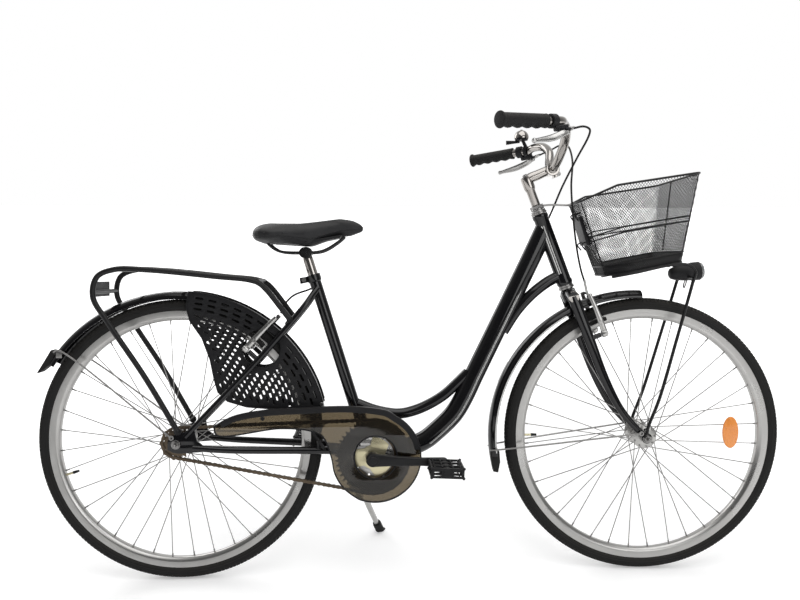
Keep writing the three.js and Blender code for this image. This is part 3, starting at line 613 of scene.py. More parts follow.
head_low, head_high = Vector((steer_x(381), 0, 381)), Vector((steer_x(556), 0, 556))
head_span = (head_high - head_low).length
frame_shell = together(
    carry(MAIN_PATH, main_section, side=(0, 1, 0)),
    tube([(432, 0, 84), (480, 0, 66), (535, 0, 57), (574, 0, 64), (615, 0, 81), (652, 0, 104),
          (682, 0, 131), (712, 0, 160)], 13.2, sides=28, step=5),
    tube([(800, 0, 262), (835, 0, 315), (872, 0, 355), (912, 0, 386), (940, 0, 401)], 14,
         sides=28, step=5),
    turned([(15, 0), (19.2, 0), (20, 3), (20, 9), (18.6, 12), (18.4, head_span - 12),
            (20, head_span - 9), (20, head_span - 3), (19.2, head_span), (15, head_span),
            (15, 0)], head_low, STEER_AXIS),
    turned([(0, 0), (14.8, 0), (14.8, 448), (16.8, 450), (17.6, 456), (17.6, 467), (13.4, 467),
            (13.4, 300), (0, 300)], (463, 0, -40), SEAT_AXIS),
    turned([(12, -34), (20.4, -34), (21.4, -31), (21.4, 31), (20.4, 34), (12, 34), (12, -34)],
           (CRANK_X, 0, CRANK_Z)),
    board([(294, 383), (318, 388), (316, 402), (292, 398)], -5.5, 6),
    board([(294, 383), (318, 388), (316, 402), (292, 398)], 5.5, 6),
    tube([(266, -37, 287), (266, 37, 287)], 6), tube([(384, -30, -27), (384, 30, -27)], 6),
    both_sides(stay_set))
show("frame_tubes", frame_shell, "frame", "gloss_black", ["main_frame"])
print("main tube path", len(MAIN_PATH), "stations")

# %% [markdown]
# Two hairline silver pinstripes run down each side of the main tube, and the head tube carries
# two on each side. They are printed, so they follow the tube's own section a hair above it.

# %% Pinstripes, bottom bracket cups and small frame fittings
def stripe(path, section, turns, lift=0.25):
    """A narrow band of a section, raised a little, carried along part of a path."""
    def band(t):
        ring = section(t)
        a, b = ring[0][0] + lift, max(p[1] for p in ring) + lift
        return [(a * math.cos(math.radians(k)), b * math.sin(math.radians(k))) for k in turns]
    return carry(path, band, side=(0, 1, 0), open_section=True)


long_run = MAIN_PATH[14:-26]
show("pinstripes", together(*(
    stripe(long_run, main_section, [side - up * k for k in turns])
    for side, up in ((90, 1), (270, -1)) for turns in ((26, 24.5, 23), (19, 18, 17)))),
     "frame", "silver_print", flip=False)


def head_band(turn):
    """A narrow stripe up the head tube at an angle round it."""
    ring = [(math.cos(math.radians(turn + k)), math.sin(math.radians(turn + k)))
            for k in (-4, 0, 4)]
    path = smooth_path([head_low + STEER_AXIS * 30, head_high - STEER_AXIS * 30], 3)
    return carry(path, [(18.8 * a, 18.8 * b) for a, b in ring], side=(0, 1, 0),
                 open_section=True)


show("head_stripes", together(head_band(60), head_band(75), head_band(285), head_band(300)),
     "frame", "silver_print", flip=False)
show("bottom_bracket_cups", both_sides(lambda s: turned(
    [(11, s * 33), (20, s * 33), (20, s * 38), (17.5, s * 39.5), (11, s * 39.5), (11, s * 33)],
    (CRANK_X, 0, CRANK_Z))), "frame", "alloy")
show("seat_bolt", together(
    tube([(303, -14, 393), (303, 14, 393)], 3.2), nut((303, 12.4, 393), (0, 1, 0), 6.4, 5),
    disc((303, -12.4, 393), (0, 1, 0), 5.6, 5)), "frame", "steel")
show("cable_clips", together(
    turned(sleeve(3.2, 4.2, -3, 3), (778, 29.5, 256), (0.44, 0, 0.9), 20),
    turned(sleeve(3.2, 4.2, -3, 3), (690, 29.5, 78), (0.55, 0, 0.83), 20)),
     "frame", "black_plastic")
cups = []
for low, high, r in ((370, 380.6, 19.5), (556.4, 566, 20)):
    foot = Vector((steer_x(low), 0, low))
    tall = (high - low) / math.sin(HEAD)
    cups.append(turned([(14, 0), (r - 1, 0), (r, 1), (r, tall * 0.45), (r - 1.6, tall * 0.55),
                        (r - 1.6, tall - 1), (r - 2.4, tall), (14, tall), (14, 0)],
                       foot, STEER_AXIS))
show("headset_cups", together(*cups), "frame", "steel",
     ["lower_headset_cup", "upper_headset_cup"])

# %% [markdown]
# The fork's blades taper and sweep forwards to the wheel. Each blade is an oval section that
# shrinks along a curved path, ending in a flat fork end with an eye for the guard stays.

# %% Fork
def blade(s):
    """One blade with its fork end, stay eye and brake boss."""
    path = smooth_path([(steer_x(352), s * 41, 352), (steer_x(232), s * 46, 232),
                        (steer_x(165), s * 47.5, 165), (1068, s * 49, 105),
                        (1090, s * 50, 68), (1118, s * 51.5, 34), (1143, s * 52.4, 9)], 5)
    leg = carry(path, lambda t: round_section(14.5 - 7 * t ** 1.3, 9.2 - 5 * t, sides=24),
                side=(0, 1, 0))
    end = board(arc(FRONT_AXLE_X, 0, 13, -10, 300, 20) + [(1156, -6)], s * 53, 4.6,
                [circle(FRONT_AXLE_X, 0, 5.2)])
    eye = turned(sleeve(2.6, 5, -2.4, 2.4), (1150, s * 53, 21), segments=20)
    boss = tube([(1012, s * 46, 248), (1037, s * 46, 257.6)], 6)
    return together(leg, end, eye, boss)


fork_shell = together(
    turned([(0, 0), (18, 0), (19, 2), (19, 24), (16, 28.5), (12.7, 30), (12.7, 245), (11.4, 245),
            (11.4, 60), (0, 60)], (steer_x(341), 0, 341), STEER_AXIS),
    tube([(steer_x(352), -48, 350), (steer_x(356), -30, 357), (steer_x(357), 30, 357),
          (steer_x(352), 48, 350)], 13.5, sides=24, step=4),
    both_sides(blade))
show("fork_blades", fork_shell, "steering", "gloss_black", ["fork"], BARS)
show("fork_caps", both_sides(lambda s: disc((steer_x(351), s * 48, 351), (0, 1, 0), 13.8, 3)),
     "steering", "chrome", place=BARS)

# %% [markdown]
# The bar rises and sweeps back like a pair of horns, so it is one bar bent along a path that is
# mirrored about the middle. The stem is a quill that goes down inside the fork.

# %% Handlebar and stem
GRIP_END, GRIP_IN = Vector((753, 300, 733)), Vector((861.5, 231, 743))
GRIP_WAY = (GRIP_IN - GRIP_END).normalized()


def mirrored(point, s):
    """A point of the left side, kept for s = 1 or moved to the right for s = -1."""
    return Vector((point[0], point[1] * s, point[2]))


def on_grip(distance, s=1):
    """A point of the grip's axis, measured inwards from the bar's end."""
    return mirrored(GRIP_END + GRIP_WAY * distance, s)


half = [(920, 14, 667), (920, 26, 667), (927, 60, 690), (933, 92, 722), (926, 132, 744),
        (908, 178, 750), on_grip(172), on_grip(150), on_grip(128), on_grip(70), on_grip(2)]
bar_points = [mirrored(p, -1) for p in reversed(half)] + [Vector((920, 0, 667))]
bar_points += [Vector(p) for p in half]
show("bar", tube(bar_points, 11.1, sides=28, step=5), "steering", "chrome",
     ["handlebar"], BARS)
stem_shell = together(
    turned([(0, 0), (11, 0), (11, 176), (12.4, 178), (14.2, 184), (14.2, 206), (13, 212),
            (8, 214), (0, 214)], (steer_x(450), 0, 450), STEER_AXIS),
    carry(smooth_path([(858, 0, 633), (866, 0, 645), (886, 0, 654), (908, 0, 664)], 4),
          lambda t: round_section(13.5 - 1.5 * t, 12.5, sides=28), side=(0, 1, 0)),
    turned([(11.3, -22), (15.6, -22), (16.8, -20.5), (16.8, 20.5), (15.6, 22), (11.3, 22),
            (11.3, -22)], (920, 0, 667), segments=40),
    board([(925, 645), (934, 650), (940, 660), (934, 668), (922, 664)], 0, 26))
show("stem_quill", stem_shell, "steering", "chrome", ["stem"], BARS)
stem_top = Vector((steer_x(650), 0, 650))
show("stem_bolts", together(
    disc(stem_top + STEER_AXIS * 1.5, STEER_AXIS, 7, 5),
    nut(stem_top + STEER_AXIS * 4.5, STEER_AXIS, 5, 3),
    disc((936, 0, 655), (0, 1, 0), 5, 30)), "steering", "steel", place=BARS)
locknut_foot = Vector((steer_x(566.5), 0, 566.5))
show("headset_nut", together(
    turned([(13.2, 0), (16.4, 0), (17, 0.6), (17, 3.4), (16.4, 4), (13.2, 4), (13.2, 0)],
           locknut_foot, STEER_AXIS),
    turned([(13.2, 4.4), (16.6, 4.4), (17.6, 5), (17.6, 11), (16.4, 12), (13.2, 12.2),
            (13.2, 4.4)], locknut_foot, STEER_AXIS, 8),
    tube([(897, 0, 578), (925, 0, 580), (962, 0, 579), (973, 0, 581)], 2.4)),
    "steering", "steel", ["headset_locknut"], BARS)


# %% [markdown]
# The grips are black rubber with waves for the fingers and a flange at the end. Their profile
# is turned round the bar's straight end, then its underside is pushed out in waves.

# %% Grips
def grip(s):
    """A rubber grip with an end flange, fine rings and finger waves."""
    way = mirrored(GRIP_WAY, s)
    profile = [(0, -4), (15, -4), (18, -3), (18.4, -1), (17.4, 1.5), (15.6, 3)]
    profile += [(15.0 + 0.35 * (k % 2), 3 + k * 1.9) for k in range(1, 65)]
    profile += [(15.8, 126), (15.2, 127), (11.3, 127), (11.3, 1), (0, 1)]
    points, faces = turned(profile, on_grip(0, s), way, 36)
    for p in points:
        height = (p - on_grip(0, s)).dot(way)
        out = p - on_grip(height, s)
        if 6 < height < 122 and out.length > 13:
            wave = 1.6 * math.cos((height - 20) * math.tau / 27) * max(0.0, -out.normalized().z)
            p += out.normalized() * wave
    return points, faces


for s, label in ((-1, "right"), (1, "left")):
    show(label + "_grip_rubber", grip(s), "steering", "rubber", [label + "_grip"],
         BARS)

# %% [markdown]
# Each brake lever is a silver blade on a pivot under a black bracket that clamps to the bar.
# The blade widens where two fingers pull it, so its section changes along its path.

# %% Lever brackets and levers
PIVOT, TIP = Vector((910, 212, 722)), Vector((828, 272, 694))
CLAMP = 147                         # how far up the grip's axis the bracket clamps


def bracket(s):
    """A collar round the bar, an arm forwards and the pivot's seat."""
    pivot = mirrored(PIVOT, s)
    under = on_grip(CLAMP, s) + mirrored((4.7, 4.9, -17), s)
    way = mirrored(GRIP_WAY, s)
    return together(
        turned([(11.4, -8), (15, -8), (16, -7), (16, 7), (15, 8), (11.4, 8), (11.4, -8)],
               on_grip(CLAMP, s), way, 32),
        carry(smooth_path([under, under.lerp(pivot, 0.5) + Vector((0, 0, 5)),
                           pivot + Vector((0, 0, 8.8))], 3),
              lambda t: round_section(5.2, 7 + 3 * t, sides=18)),
        disc(pivot + Vector((0, 0, 7)), (0, 0, 1), 10, 5.4, 1.2))


def lever(s):
    """A lever's blade from its pivot to the ball at its tip."""
    pivot, tip = mirrored(PIVOT, s), mirrored(TIP, s)
    path = smooth_path([pivot, pivot + Vector((-8, s * 20, -4)),
                        pivot.lerp(tip, 0.5) + Vector((2, s * 4, -4)), tip], 3)
    blade = carry(path, lambda t: round_section(
        3.2 + 1.2 * math.sin(math.pi * t), 5 + 3.4 * math.sin(math.pi * min(1, t * 1.1)),
        sides=20))
    return together(blade, disc(pivot, (0, 0, 1), 7.6, 6.4, 1), ball(tip, 5.8))


show("lever_brackets", both_sides(bracket), "steering", "black_plastic",
     ["right_lever_bracket", "left_lever_bracket"], BARS)
show("lever_pins", both_sides(lambda s: together(
    tube([mirrored(PIVOT, s) + Vector((0, 0, -5)), mirrored(PIVOT, s) + Vector((0, 0, 11.4))],
         3),
    turned([(2.6, 0), (4.6, 0), (4.6, 9), (3.6, 10), (3.6, 16), (2.6, 16), (2.6, 0)],
           mirrored(PIVOT, s) + mirrored((6, -3, 7), s), mirrored((0.7, -0.5, 0.3), s), 14))),
     "steering", "alloy", place=BARS)
show("right_lever_blade", lever(-1), "right_lever", "alloy", ["right_brake_lever"],
     BARS)
show("left_lever_blade", lever(1), "left_lever", "alloy", ["left_brake_lever"], BARS)

# %% [markdown]
# The bell is a chromed dome over a black base, rung by a thumb tab.

# %% Bell
BELL = Vector((876, 192, 784))
show("bell_cap", turned([(0, 16), (4, 15.8), (9, 14.2), (13, 11.6), (16.4, 7.6), (18.8, 3),
                         (20, -2), (20.2, -6.6), (19.2, -6.6), (18.6, -2), (15, 6), (9, 12),
                         (0, 14)], BELL, (0, 0, 1)),
     "steering", "chrome", ["bell_dome"], BARS)
show("bell_foot", together(
    turned([(11.4, -5), (13.8, -5), (14.5, -4), (14.5, 4), (13.8, 5), (11.4, 5), (11.4, -5)],
           on_grip(165), GRIP_WAY, 32),
    tube([(890, 208, 759), (884, 202, 768), (878, 195, 775)], lambda t: 5 - t),
    disc(BELL + Vector((0, 0, -9.5)), (0, 0, 1), 18, 5, 1.4)),
     "steering", "black_plastic", ["bell_base"], BARS)
show("bell_knob", disc(BELL + Vector((0, 0, 16.5)), (0, 0, 1), 3.4, 2, 0.6),
     "steering", "steel", place=BARS)
show("bell_tab", carry(smooth_path([BELL + Vector((-4, 4, -15.5)), BELL + Vector((-20, 10, -15)),
                                    BELL + Vector((-40, 16, -15.5))], 3),
                       lambda t: round_section(1.8, 2.6 + 3.4 * t, sides=16), side=(0, 0, 1)),
     "bell_lever", "black_plastic", ["bell_thumb_lever"], BARS)

# %% [markdown]
# The basket is expanded wire: fine diamonds stretched over eight slanting panels, with stouter
# wires at the rim, at half height and at the bottom. The walls are a surface with two
# parameters, one round the outline and one up the wall, so the diamonds are straight slanting
# lines in those two, and a Geometry Nodes tree draws every line as wire.

# %% Basket
RIM = [(976, -65), (1042, -152), (1222, -152), (1236, -138), (1236, 138), (1222, 152),
       (1042, 152), (976, 65)]


def rounded_outline(corners, radius, count=5):
    """The corner points of an outline with each corner rounded."""
    ring = []
    for before, corner, after in zip(corners[-1:] + corners[:-1], corners,
                                     corners[1:] + corners[:1]):
        c = Vector(corner)
        a, b = Vector(before) - c, Vector(after) - c
        reach = min(radius, a.length * 0.45, b.length * 0.45)
        start, end = c + a.normalized() * reach, c + b.normalized() * reach
        for k in range(count + 1):
            t = k / count
            ring.append(start * (1 - t) ** 2 + c * 2 * t * (1 - t) + end * t * t)
    return ring


OUTLINE = rounded_outline(RIM, 22)
LENGTHS = [0.0]
for a, b in zip(OUTLINE, OUTLINE[1:] + OUTLINE[:1]):
    LENGTHS.append(LENGTHS[-1] + (b - a).length)


FLOOR_X, FLOOR_LONG, FLOOR_RISE = 1044, 166, 34    # the sloping floor, from its rear edge


def basket_point(u, h):
    """A point of the wall: u is 0 to 1 round it, h is 0 at the floor and 1 at the rim."""
    goal = (u % 1) * LENGTHS[-1]
    k = max(i for i in range(len(OUTLINE)) if LENGTHS[i] <= goal)
    t = (goal - LENGTHS[k]) / (LENGTHS[k + 1] - LENGTHS[k])
    top = OUTLINE[k].lerp(OUTLINE[(k + 1) % len(OUTLINE)], t)
    x, y = top
    rim_z = 582 + (x - 976) * 31 / 66 if x < 1042 else 613 + (x - 1042) * 29 / 194
    floor_x = FLOOR_X + (x - 976) * FLOOR_LONG / 260
    floor = Vector((floor_x, y * 0.76, 403 + (floor_x - FLOOR_X) * FLOOR_RISE / FLOOR_LONG))
    return floor.lerp(Vector((x, y, rim_z)), h)


WIRES_ROUND, RISE = 150, 0.17
lines = []
for k in range(WIRES_ROUND):
    for lean in (-1, 1):
        lines.append([basket_point(k / WIRES_ROUND + lean * RISE * j / 12, j / 12)
                      for j in range(13)])
floor_wires = []
for k in range(-30, 64):
    for lean in (-1, 1):
        points = []
        for j in range(41):
            x = FLOOR_X + FLOOR_LONG * (k + j * 0.8) / 34
            y = lean * (j - 20) * 5.4
            wall = 0.76 * (65 + (x - FLOOR_X) * 2.1 if x < 1086 else 152)
            if 1045 < x < 1209 and abs(y) < wall:
                points.append((x, y, 404 + (x - FLOOR_X) * FLOOR_RISE / FLOOR_LONG))
        if len(points) > 1:
            floor_wires.append(points)
show("basket_mesh", grow(wires, source_curve(lines + floor_wires), "satin_black", Radius=0.5),
     "steering", "satin_black", ["basket"], BARS, flip=False)


def hoop(h, radius):
    """A stout wire round the basket at a height."""
    path = [basket_point(k / 120, h) for k in range(120)]
    return carry(path, round_section(radius, sides=10), loop=True)


def band(low, high):
    """A solid band round the basket's foot."""
    points = [basket_point(k / 96, h) for h in (low, high) for k in range(96)]
    return points, [(k, (k + 1) % 96, 96 + (k + 1) % 96, 96 + k) for k in range(96)]


hooks = together(*(tube([(990 + 6 * k, s * 22, 560 - 24 * k), (975 + 6 * k, s * 22, 552 - 24 * k),
                         (985 + 6 * k, s * 22, 538 - 24 * k)], 1.8)
                   for s in (-1, 1) for k in (0, 3)))
show("basket_frame", together(
    hoop(1.0, 2.6), hoop(0.47, 1.7), hoop(0.53, 1.7), hoop(0.12, 1.7), hoop(0.0, 2.4), hooks,
    *(tube([basket_point(u, 0), basket_point(u, 1)], 1.6, 10) for u in (0.02, 0.5, 0.94)),
    *(tube([(1050 + 40 * k, -100, 404.5 + 8.2 * k), (1050 + 40 * k, 100, 404.5 + 8.2 * k)],
           1.8, 10) for k in range(1, 5))), "steering", "satin_black",
     place=BARS)
foot_band = show("basket_band", band(0.01, 0.115), "steering", "satin_black",
                 place=BARS)
thick = foot_band.modifiers.new("sheet", "SOLIDIFY")
thick.thickness = 0.0008
show("basket_plate", board([(1003, 478), (1013, 478), (991, 548), (981, 548)], 0, 70, bevel=1.5),
     "steering", "black_plastic", place=BARS)

# %% [markdown]
# Two black rods carry the basket down to the front axle. They bend back under its floor.

# %% Basket rods and headlight
def rods(s):
    """One side's rod, from the basket's floor to an eye on the axle."""
    return together(
        tube([(1150, s * 60, 14), (1152, s * 60, 28), (1178, s * 60.7, 99), (1220, s * 56, 247),
              (1258, s * 51.3, 385), (1265, s * 50, 412), (1252, s * 49, 427),
              (1213, s * 49, 430), (1120, s * 49, 411), (1062, s * 47, 400)], 4, step=5),
        turned(sleeve(5.4, 8.4, -3, 3), (1151.5, s * 59, 6), segments=24))


show("basket_rods", together(both_sides(rods), tube([(1200, -49, 427), (1200, 49, 427)], 3.6),
                             tube([(1262, -51, 398), (1262, 51, 398)], 3.2)),
     "steering", "satin_black", ["basket_support_rods"], BARS)
LIGHT_WAY = Vector((0.9942, 0, 0.1075))
LIGHT = Vector((1218, 0, 406))
show("headlight_cap", together(
    turned([(0, 0), (8, 0.5), (13, 4), (17, 14), (20, 30), (22, 52), (23, 72), (23.4, 75),
            (22.2, 76), (21, 74), (0, 70)], LIGHT, LIGHT_WAY),
    *(turned(sleeve(20.5, 23.2, h, h + 1.4), LIGHT, LIGHT_WAY) for h in (56, 61, 66)),
    tube([(1238, 0, 420), (1232, 0, 428), (1226, 0, 430)], 5)), "steering", "black_plastic",
     ["headlight_housing"], BARS)
show("headlight_glass", turned([(0, 74.6), (21.4, 74.6), (21.4, 79), (19, 83), (13, 85.6),
                                (6, 86.6), (0, 87)], LIGHT, LIGHT_WAY),
     "steering", "clear_lens", ["headlight_lens"], BARS)
show("headlight_bowl", turned([(0, 62), (4, 62), (6, 68), (19.8, 74.2), (20.6, 74.2),
                               (20.6, 71), (0, 60)], LIGHT, LIGHT_WAY),
     "steering", "chrome", place=BARS)
show("headlight_wire", tube([(1262, -5, 391), (1258, -6, 378), (1257, 0, 371), (1258, 6, 378),
                             (1262, 5, 391)], 1.6), "steering", "steel", place=BARS)


# %% [markdown]
# A wheel is a turned tyre and rim, a hub, and thirty-six spokes that leave the hub's flanges
# at a slant, half of them pulling forwards and half back. Four spokes make one repeat, and the
# tree sets nine repeats round the axle. The tread is small blocks set round in the same way.

# %% Wheels
TYRE_MIDDLE, TYRE_THICK = 328.5, 16.3       # the casing's own circle
SPOKE_REPEATS, TREAD_BLOCKS = 9, 220


def casing_profile(low, high, count):
    """The tyre's round section between two angles."""
    turns = [math.radians(low + (high - low) * k / count) for k in range(count + 1)]
    return [(TYRE_MIDDLE + TYRE_THICK * math.cos(a), TYRE_THICK * math.sin(a)) for a in turns]


def spoke_repeat():
    """Four spokes with their heads and nipples: two on each flange."""
    parts = []
    for s in (-1, 1):
        for way in (-1, 1):
            rim_turn = math.radians(10 * way + 5 * s)
            hub_turn = rim_turn + math.radians(62) * way
            face = s * 31 + way * 2
            hole = Vector((26 * math.cos(hub_turn), face, 26 * math.sin(hub_turn)))
            seat = Vector((303 * math.cos(rim_turn), s * 3, 303 * math.sin(rim_turn)))
            pull = (seat - hole).normalized()
            parts += [tube([hole, seat], 1.15, 8), disc(hole, (0, 1, 0), 2.2, 5, 0.5, 10),
                      tube([seat - pull * 17, seat - pull * 3], 1.9, 8)]
    return together(*parts)


def tread_repeat():
    """One row of five tread blocks across the tyre."""
    blocks = []
    for turn, width, shift in ((0, 4.2, 0), (26, 3.4, 1.3), (-26, 3.4, 1.3), (50, 3, 0),
                               (-50, 3, 0)):
        a = math.radians(turn)
        out = Vector((math.cos(a), math.sin(a), 0))
        flat = Vector((-math.sin(a), math.cos(a), 0))
        for lift in (0, 1):
            for up, along in ((-1, -1), (1, -1), (1, 1), (-1, 1)):
                size = width - 0.5 * lift
                blocks.append(Vector((TYRE_MIDDLE, 0, shift * 2)) + out * (16.2 + 1.3 * lift)
                              + flat * up * size + Vector((0, 0, along * (3.6 - 0.5 * lift))))
    faces = []
    for k in range(0, len(blocks), 8):
        faces += [tuple(k + i for i in f) for f in
                  ((0, 3, 2, 1), (4, 5, 6, 7), (0, 1, 5, 4), (1, 2, 6, 5), (2, 3, 7, 6),
                   (3, 0, 4, 7))]
    return blocks, faces


def wheel(end, body, place, x, valve_turn, hub_profile, axle_end, nut_face, fixed):
    """One wheel's turned pieces, spokes, tread and valve, and its fixed axle."""
    at = place @ Matrix.Translation((x, 0, 0))
    section = casing_profile(-142, 142, 30)
    casing = turned(section + [(314.5, 6.5), (314.5, -6.5), section[0]], segments=160)
    show(end + "_tyre_casing", casing, body, "rubber", [end + "_tyre"], at)
    show(end + "_tread", grow(round_axle, source_mesh(tread_repeat()), "tread",
                              Copies=TREAD_BLOCKS),
         body, "tread", place=at, flip=False)
    show(end + "_sidewall_rings", together(*(
        turned([(r, s * w), (r + 0.8, s * (w + 0.6)), (r + 1.6, s * w), (r, s * w)],
               segments=120) for s in (-1, 1) for r, w in ((321.5, 14.6), (327.5, 16.2)))),
        body, "rubber", place=at)
    rim = turned([(318.2, -13), (319, -12), (319, -11.4), (314, -9), (312, 0), (314, 9),
                  (319, 11.4), (319, 12), (318.2, 13), (305, 12.7), (303, 12.4), (302, 12),
                  (296, 8), (294.6, 5), (294.6, -5), (296, -8), (302, -12), (303, -12.4),
                  (305, -12.7), (318.2, -13)], segments=160)
    show(end + "_rim_hoop", rim, body, "alloy", [end + "_rim"], at)
    show(end + "_spoke_set", grow(round_axle, source_mesh(spoke_repeat()), "steel",
                                  Copies=SPOKE_REPEATS), body, "steel",
         [end + "_spokes_right", end + "_spokes_left"], at, flip=False)
    show(end + "_hub_shell", turned(hub_profile, segments=48), body, "alloy",
         [end + "_hub"], at)
    v = math.radians(valve_turn)
    way = Vector((-math.cos(v), 0, -math.sin(v)))
    base = -way * 297
    show(end + "_valve", together(tube([base - way * 6, base + way * 20], 2.9, 12),
                                  nut(base + way * 1, way, 6, 2.4)), body, "pale_gold",
         place=at)
    show(end + "_valve_cap", tube([base + way * 19, base + way * 33], lambda t: 4 - t, 14),
         body, "black_plastic", place=at)
    show(end + "_axle_nuts", both_sides(lambda s: together(
        tube([(0, s * 36, 0), (0, s * axle_end, 0)], 4.7, 20),
        nut((0, s * (nut_face + 4.5), 0), (0, 1, 0), 9.2, 8),
        disc((0, s * (nut_face + 1), 0), (0, 1, 0), 11, 1.6, 0.3),
        ball((0, s * (axle_end - 1), 0), 4.6, 20))), fixed, "steel",
        [end + "_axle"], at)


wheel("front", "front_wheel", BARS, FRONT_AXLE_X, 180.7,
      [(5.6, -46), (8, -46), (9, -45), (9, -40), (11, -37), (12.6, -34), (29, -33),
       (30.4, -32), (30.4, -30), (29, -29), (17, -28), (14, -24), (12.8, -18), (12.8, 18),
       (14, 24), (17, 28), (29, 29), (30.4, 30), (30.4, 32), (29, 33), (12.6, 34), (11, 37),
       (9, 40), (9, 45), (8, 46), (5.6, 46), (5.6, -46)], 71, 55.9, "steering")
wheel("rear", "rear_wheel", BIKE, 0, 196.8,
      [(5.8, -36), (16, -36), (16.6, -34), (17, -33), (29, -33), (30.4, -32), (30.4, -30),
       (29, -29), (20, -28), (16, -24), (15, -18), (15, 18), (16, 24), (20, 28), (29, 29),
       (30.4, 30), (30.4, 32), (29, 33), (12.6, 34), (11, 38), (9, 44), (9, 53), (8, 54),
       (5.8, 54), (5.8, -36)], 78, 63.4, "frame")
reflector = board([(1372 + 20 * math.cos(a), 8 + 40 * math.sin(a)) for a in
                   [math.tau * k / 48 for k in range(48)]], -22, 4.6, bevel=1.6)
show("wheel_reflector", reflector, "front_wheel", "amber_reflector",
     ["spoke_reflector"], BARS)
print("wheel pieces", {k: n for k, n in made.items() if k.startswith("front_")})

# %% [markdown]
# The mudguards are thin black channels rolled to the wheels' curve, with wire stays bolted near
# the axles. A section for the outside and one for the inside make a single sheet of even
# thickness, and its edges are rolled into small beads.

# %% Mudguards
def channel(width, depth, wall=1.1, count=22):
    """A guard's section: outer arc, rolled bead at each edge, inner arc."""
    outer = [(depth * math.sin(a) - depth, width * math.cos(a)) for a in
             [math.pi * k / count for k in range(count + 1)]]
    inner = [(h - wall, y * (1 - wall / width)) for h, y in reversed(outer)]
    return outer + [(-depth - 1.4, -width + 0.2), (-depth - 1.4, -width + 1.6)] + inner + [
        (-depth - 1.4, width - 1.6), (-depth - 1.4, width - 0.2)]


def guard(centre, radius, start, end):
    """A mudguard rolled round a centre, between two angles."""
    path = [Vector((x, 0, z)) for x, z in arc(*centre, radius, start, end,
                                               int((end - start) * 1.1))]
    section = [(-h, y) for h, y in channel(24.2, 18)]
    return carry(path, section, side=(0, 1, 0))


def wire_bow(axle, edge, over):
    """A stay: up both sides from the axle and over the guard's back."""
    return both_sides(lambda s: together(
        tube([(axle[0], s * axle[1], axle[2]), (edge[0], s * edge[1], edge[2]),
              (over[0], s * edge[1] * 0.8, over[1])], 2.1, 12, 5),
        turned(sleeve(3, 6, -1.5, 1.5), (axle[0], s * axle[1], axle[2]), segments=20)))


def rear_clip(s):
    """A small plate and bolt that hold the stay to the guard's edge."""
    return together(disc((-286, s * 26.6, 214), (0, 1, 0), 5, 3, 0.8),
                    board([(-292, 206), (-278, 206), (-278, 224), (-292, 224)], s * 26.4, 1.6,
                          bevel=0.5))


show("rear_guard", guard((-6, 0), 366, 12, 148), "frame", "gloss_black",
     ["rear_mudguard"])
show("rear_guard_stays", together(
    wire_bow((-9, 67, 17), (-286, 29, 225), (-299, 219.5)), both_sides(rear_clip)),
     "frame", "steel")
show("rear_guard_flap", board([(-300, 212), (-313, 188), (-338, 169), (-344, 167), (-323, 201),
                               (-309, 224)], 0, 34, bevel=1.5), "frame", "rubber")
show("front_guard", guard((1133, -2), 368, 88, 188.5), "steering", "gloss_black",
     ["front_mudguard"], BARS)
flap = board([(769, -44), (773, -70), (778, -95), (790, -97), (795, -70), (793, -44)], 0, 34,
             bevel=1.5)
show("front_guard_flap", flap, "steering", "rubber", place=BARS)
show("front_guard_stays", wire_bow((1136, 61, 14), (778, 29, -36), (768, -37.5)),
     "steering", "steel", place=BARS)
edge_path = [Vector((x, 0, z)) for x, z in arc(1133, -2, 366.6, 120, 187, 70)]
# The white band made next is a painted highlight on the front guard's right flank, standing in
# for the light that glints on its gloss paint.
highlight_path = [Vector((x, 0, z)) for x, z in arc(1133, -2, 368.4, 150, 159, 10)]
show("front_guard_lines", both_sides(lambda s: carry(
    edge_path, [(17.2, s * 24.6), (15.6, s * 24.7), (14.4, s * 24.6)], side=(0, 1, 0),
    open_section=True)), "steering", "silver_print", place=BARS, flip=False)
patch = [(18 * (1 - math.sin(a)) - 0.35, -24.6 * math.cos(a)) for a in
         [math.radians(k) for k in range(20, 72, 6)]]
show("front_guard_patch", carry(highlight_path, patch, side=(0, 1, 0), open_section=True),
     "steering", "painted_highlight_white", place=BARS, flip=False)

# %% [markdown]
# The chain runs round the chainring and the sprocket. Its path is a loop of two straight runs
# and two arcs, and the tree sets one repeat, an inner and an outer link with their rollers, at
# even steps along it, turned to the path's direction.

# %% Chain, sprocket and chainring
CHAIN_LINE = -44                            # the chain's middle plane
RING_PITCH, RING_TEETH = 89, 44
SPROCKET_PITCH, SPROCKET_TEETH = 36.6, 18
LINK = 12.7                                 # from one chain pin to the next


def belt(steps=60):
    """The chain's loop, as (x, z) points."""
    slope = math.degrees(math.atan2(CRANK_Z, CRANK_X))
    wrap = math.degrees(math.asin(
        (RING_PITCH - SPROCKET_PITCH) / math.hypot(CRANK_X, CRANK_Z)))
    up, down = slope + 90 + wrap, slope - 90 - wrap
    return (arc(CRANK_X, CRANK_Z, RING_PITCH, up, down, steps)
            + arc(0, 0, SPROCKET_PITCH, down, up - 360, steps // 2))


def link_plate(y, from_x):
    """A waisted side plate that joins two pins."""
    ring = (arc(from_x, 0, 4.1, 90, 270, 8) + [(from_x + LINK / 2, -3.0)]
            + arc(from_x + LINK, 0, 4.1, -90, 90, 8) + [(from_x + LINK / 2, 3.0)])
    return board(ring, y, 1.0, bevel=0.25)


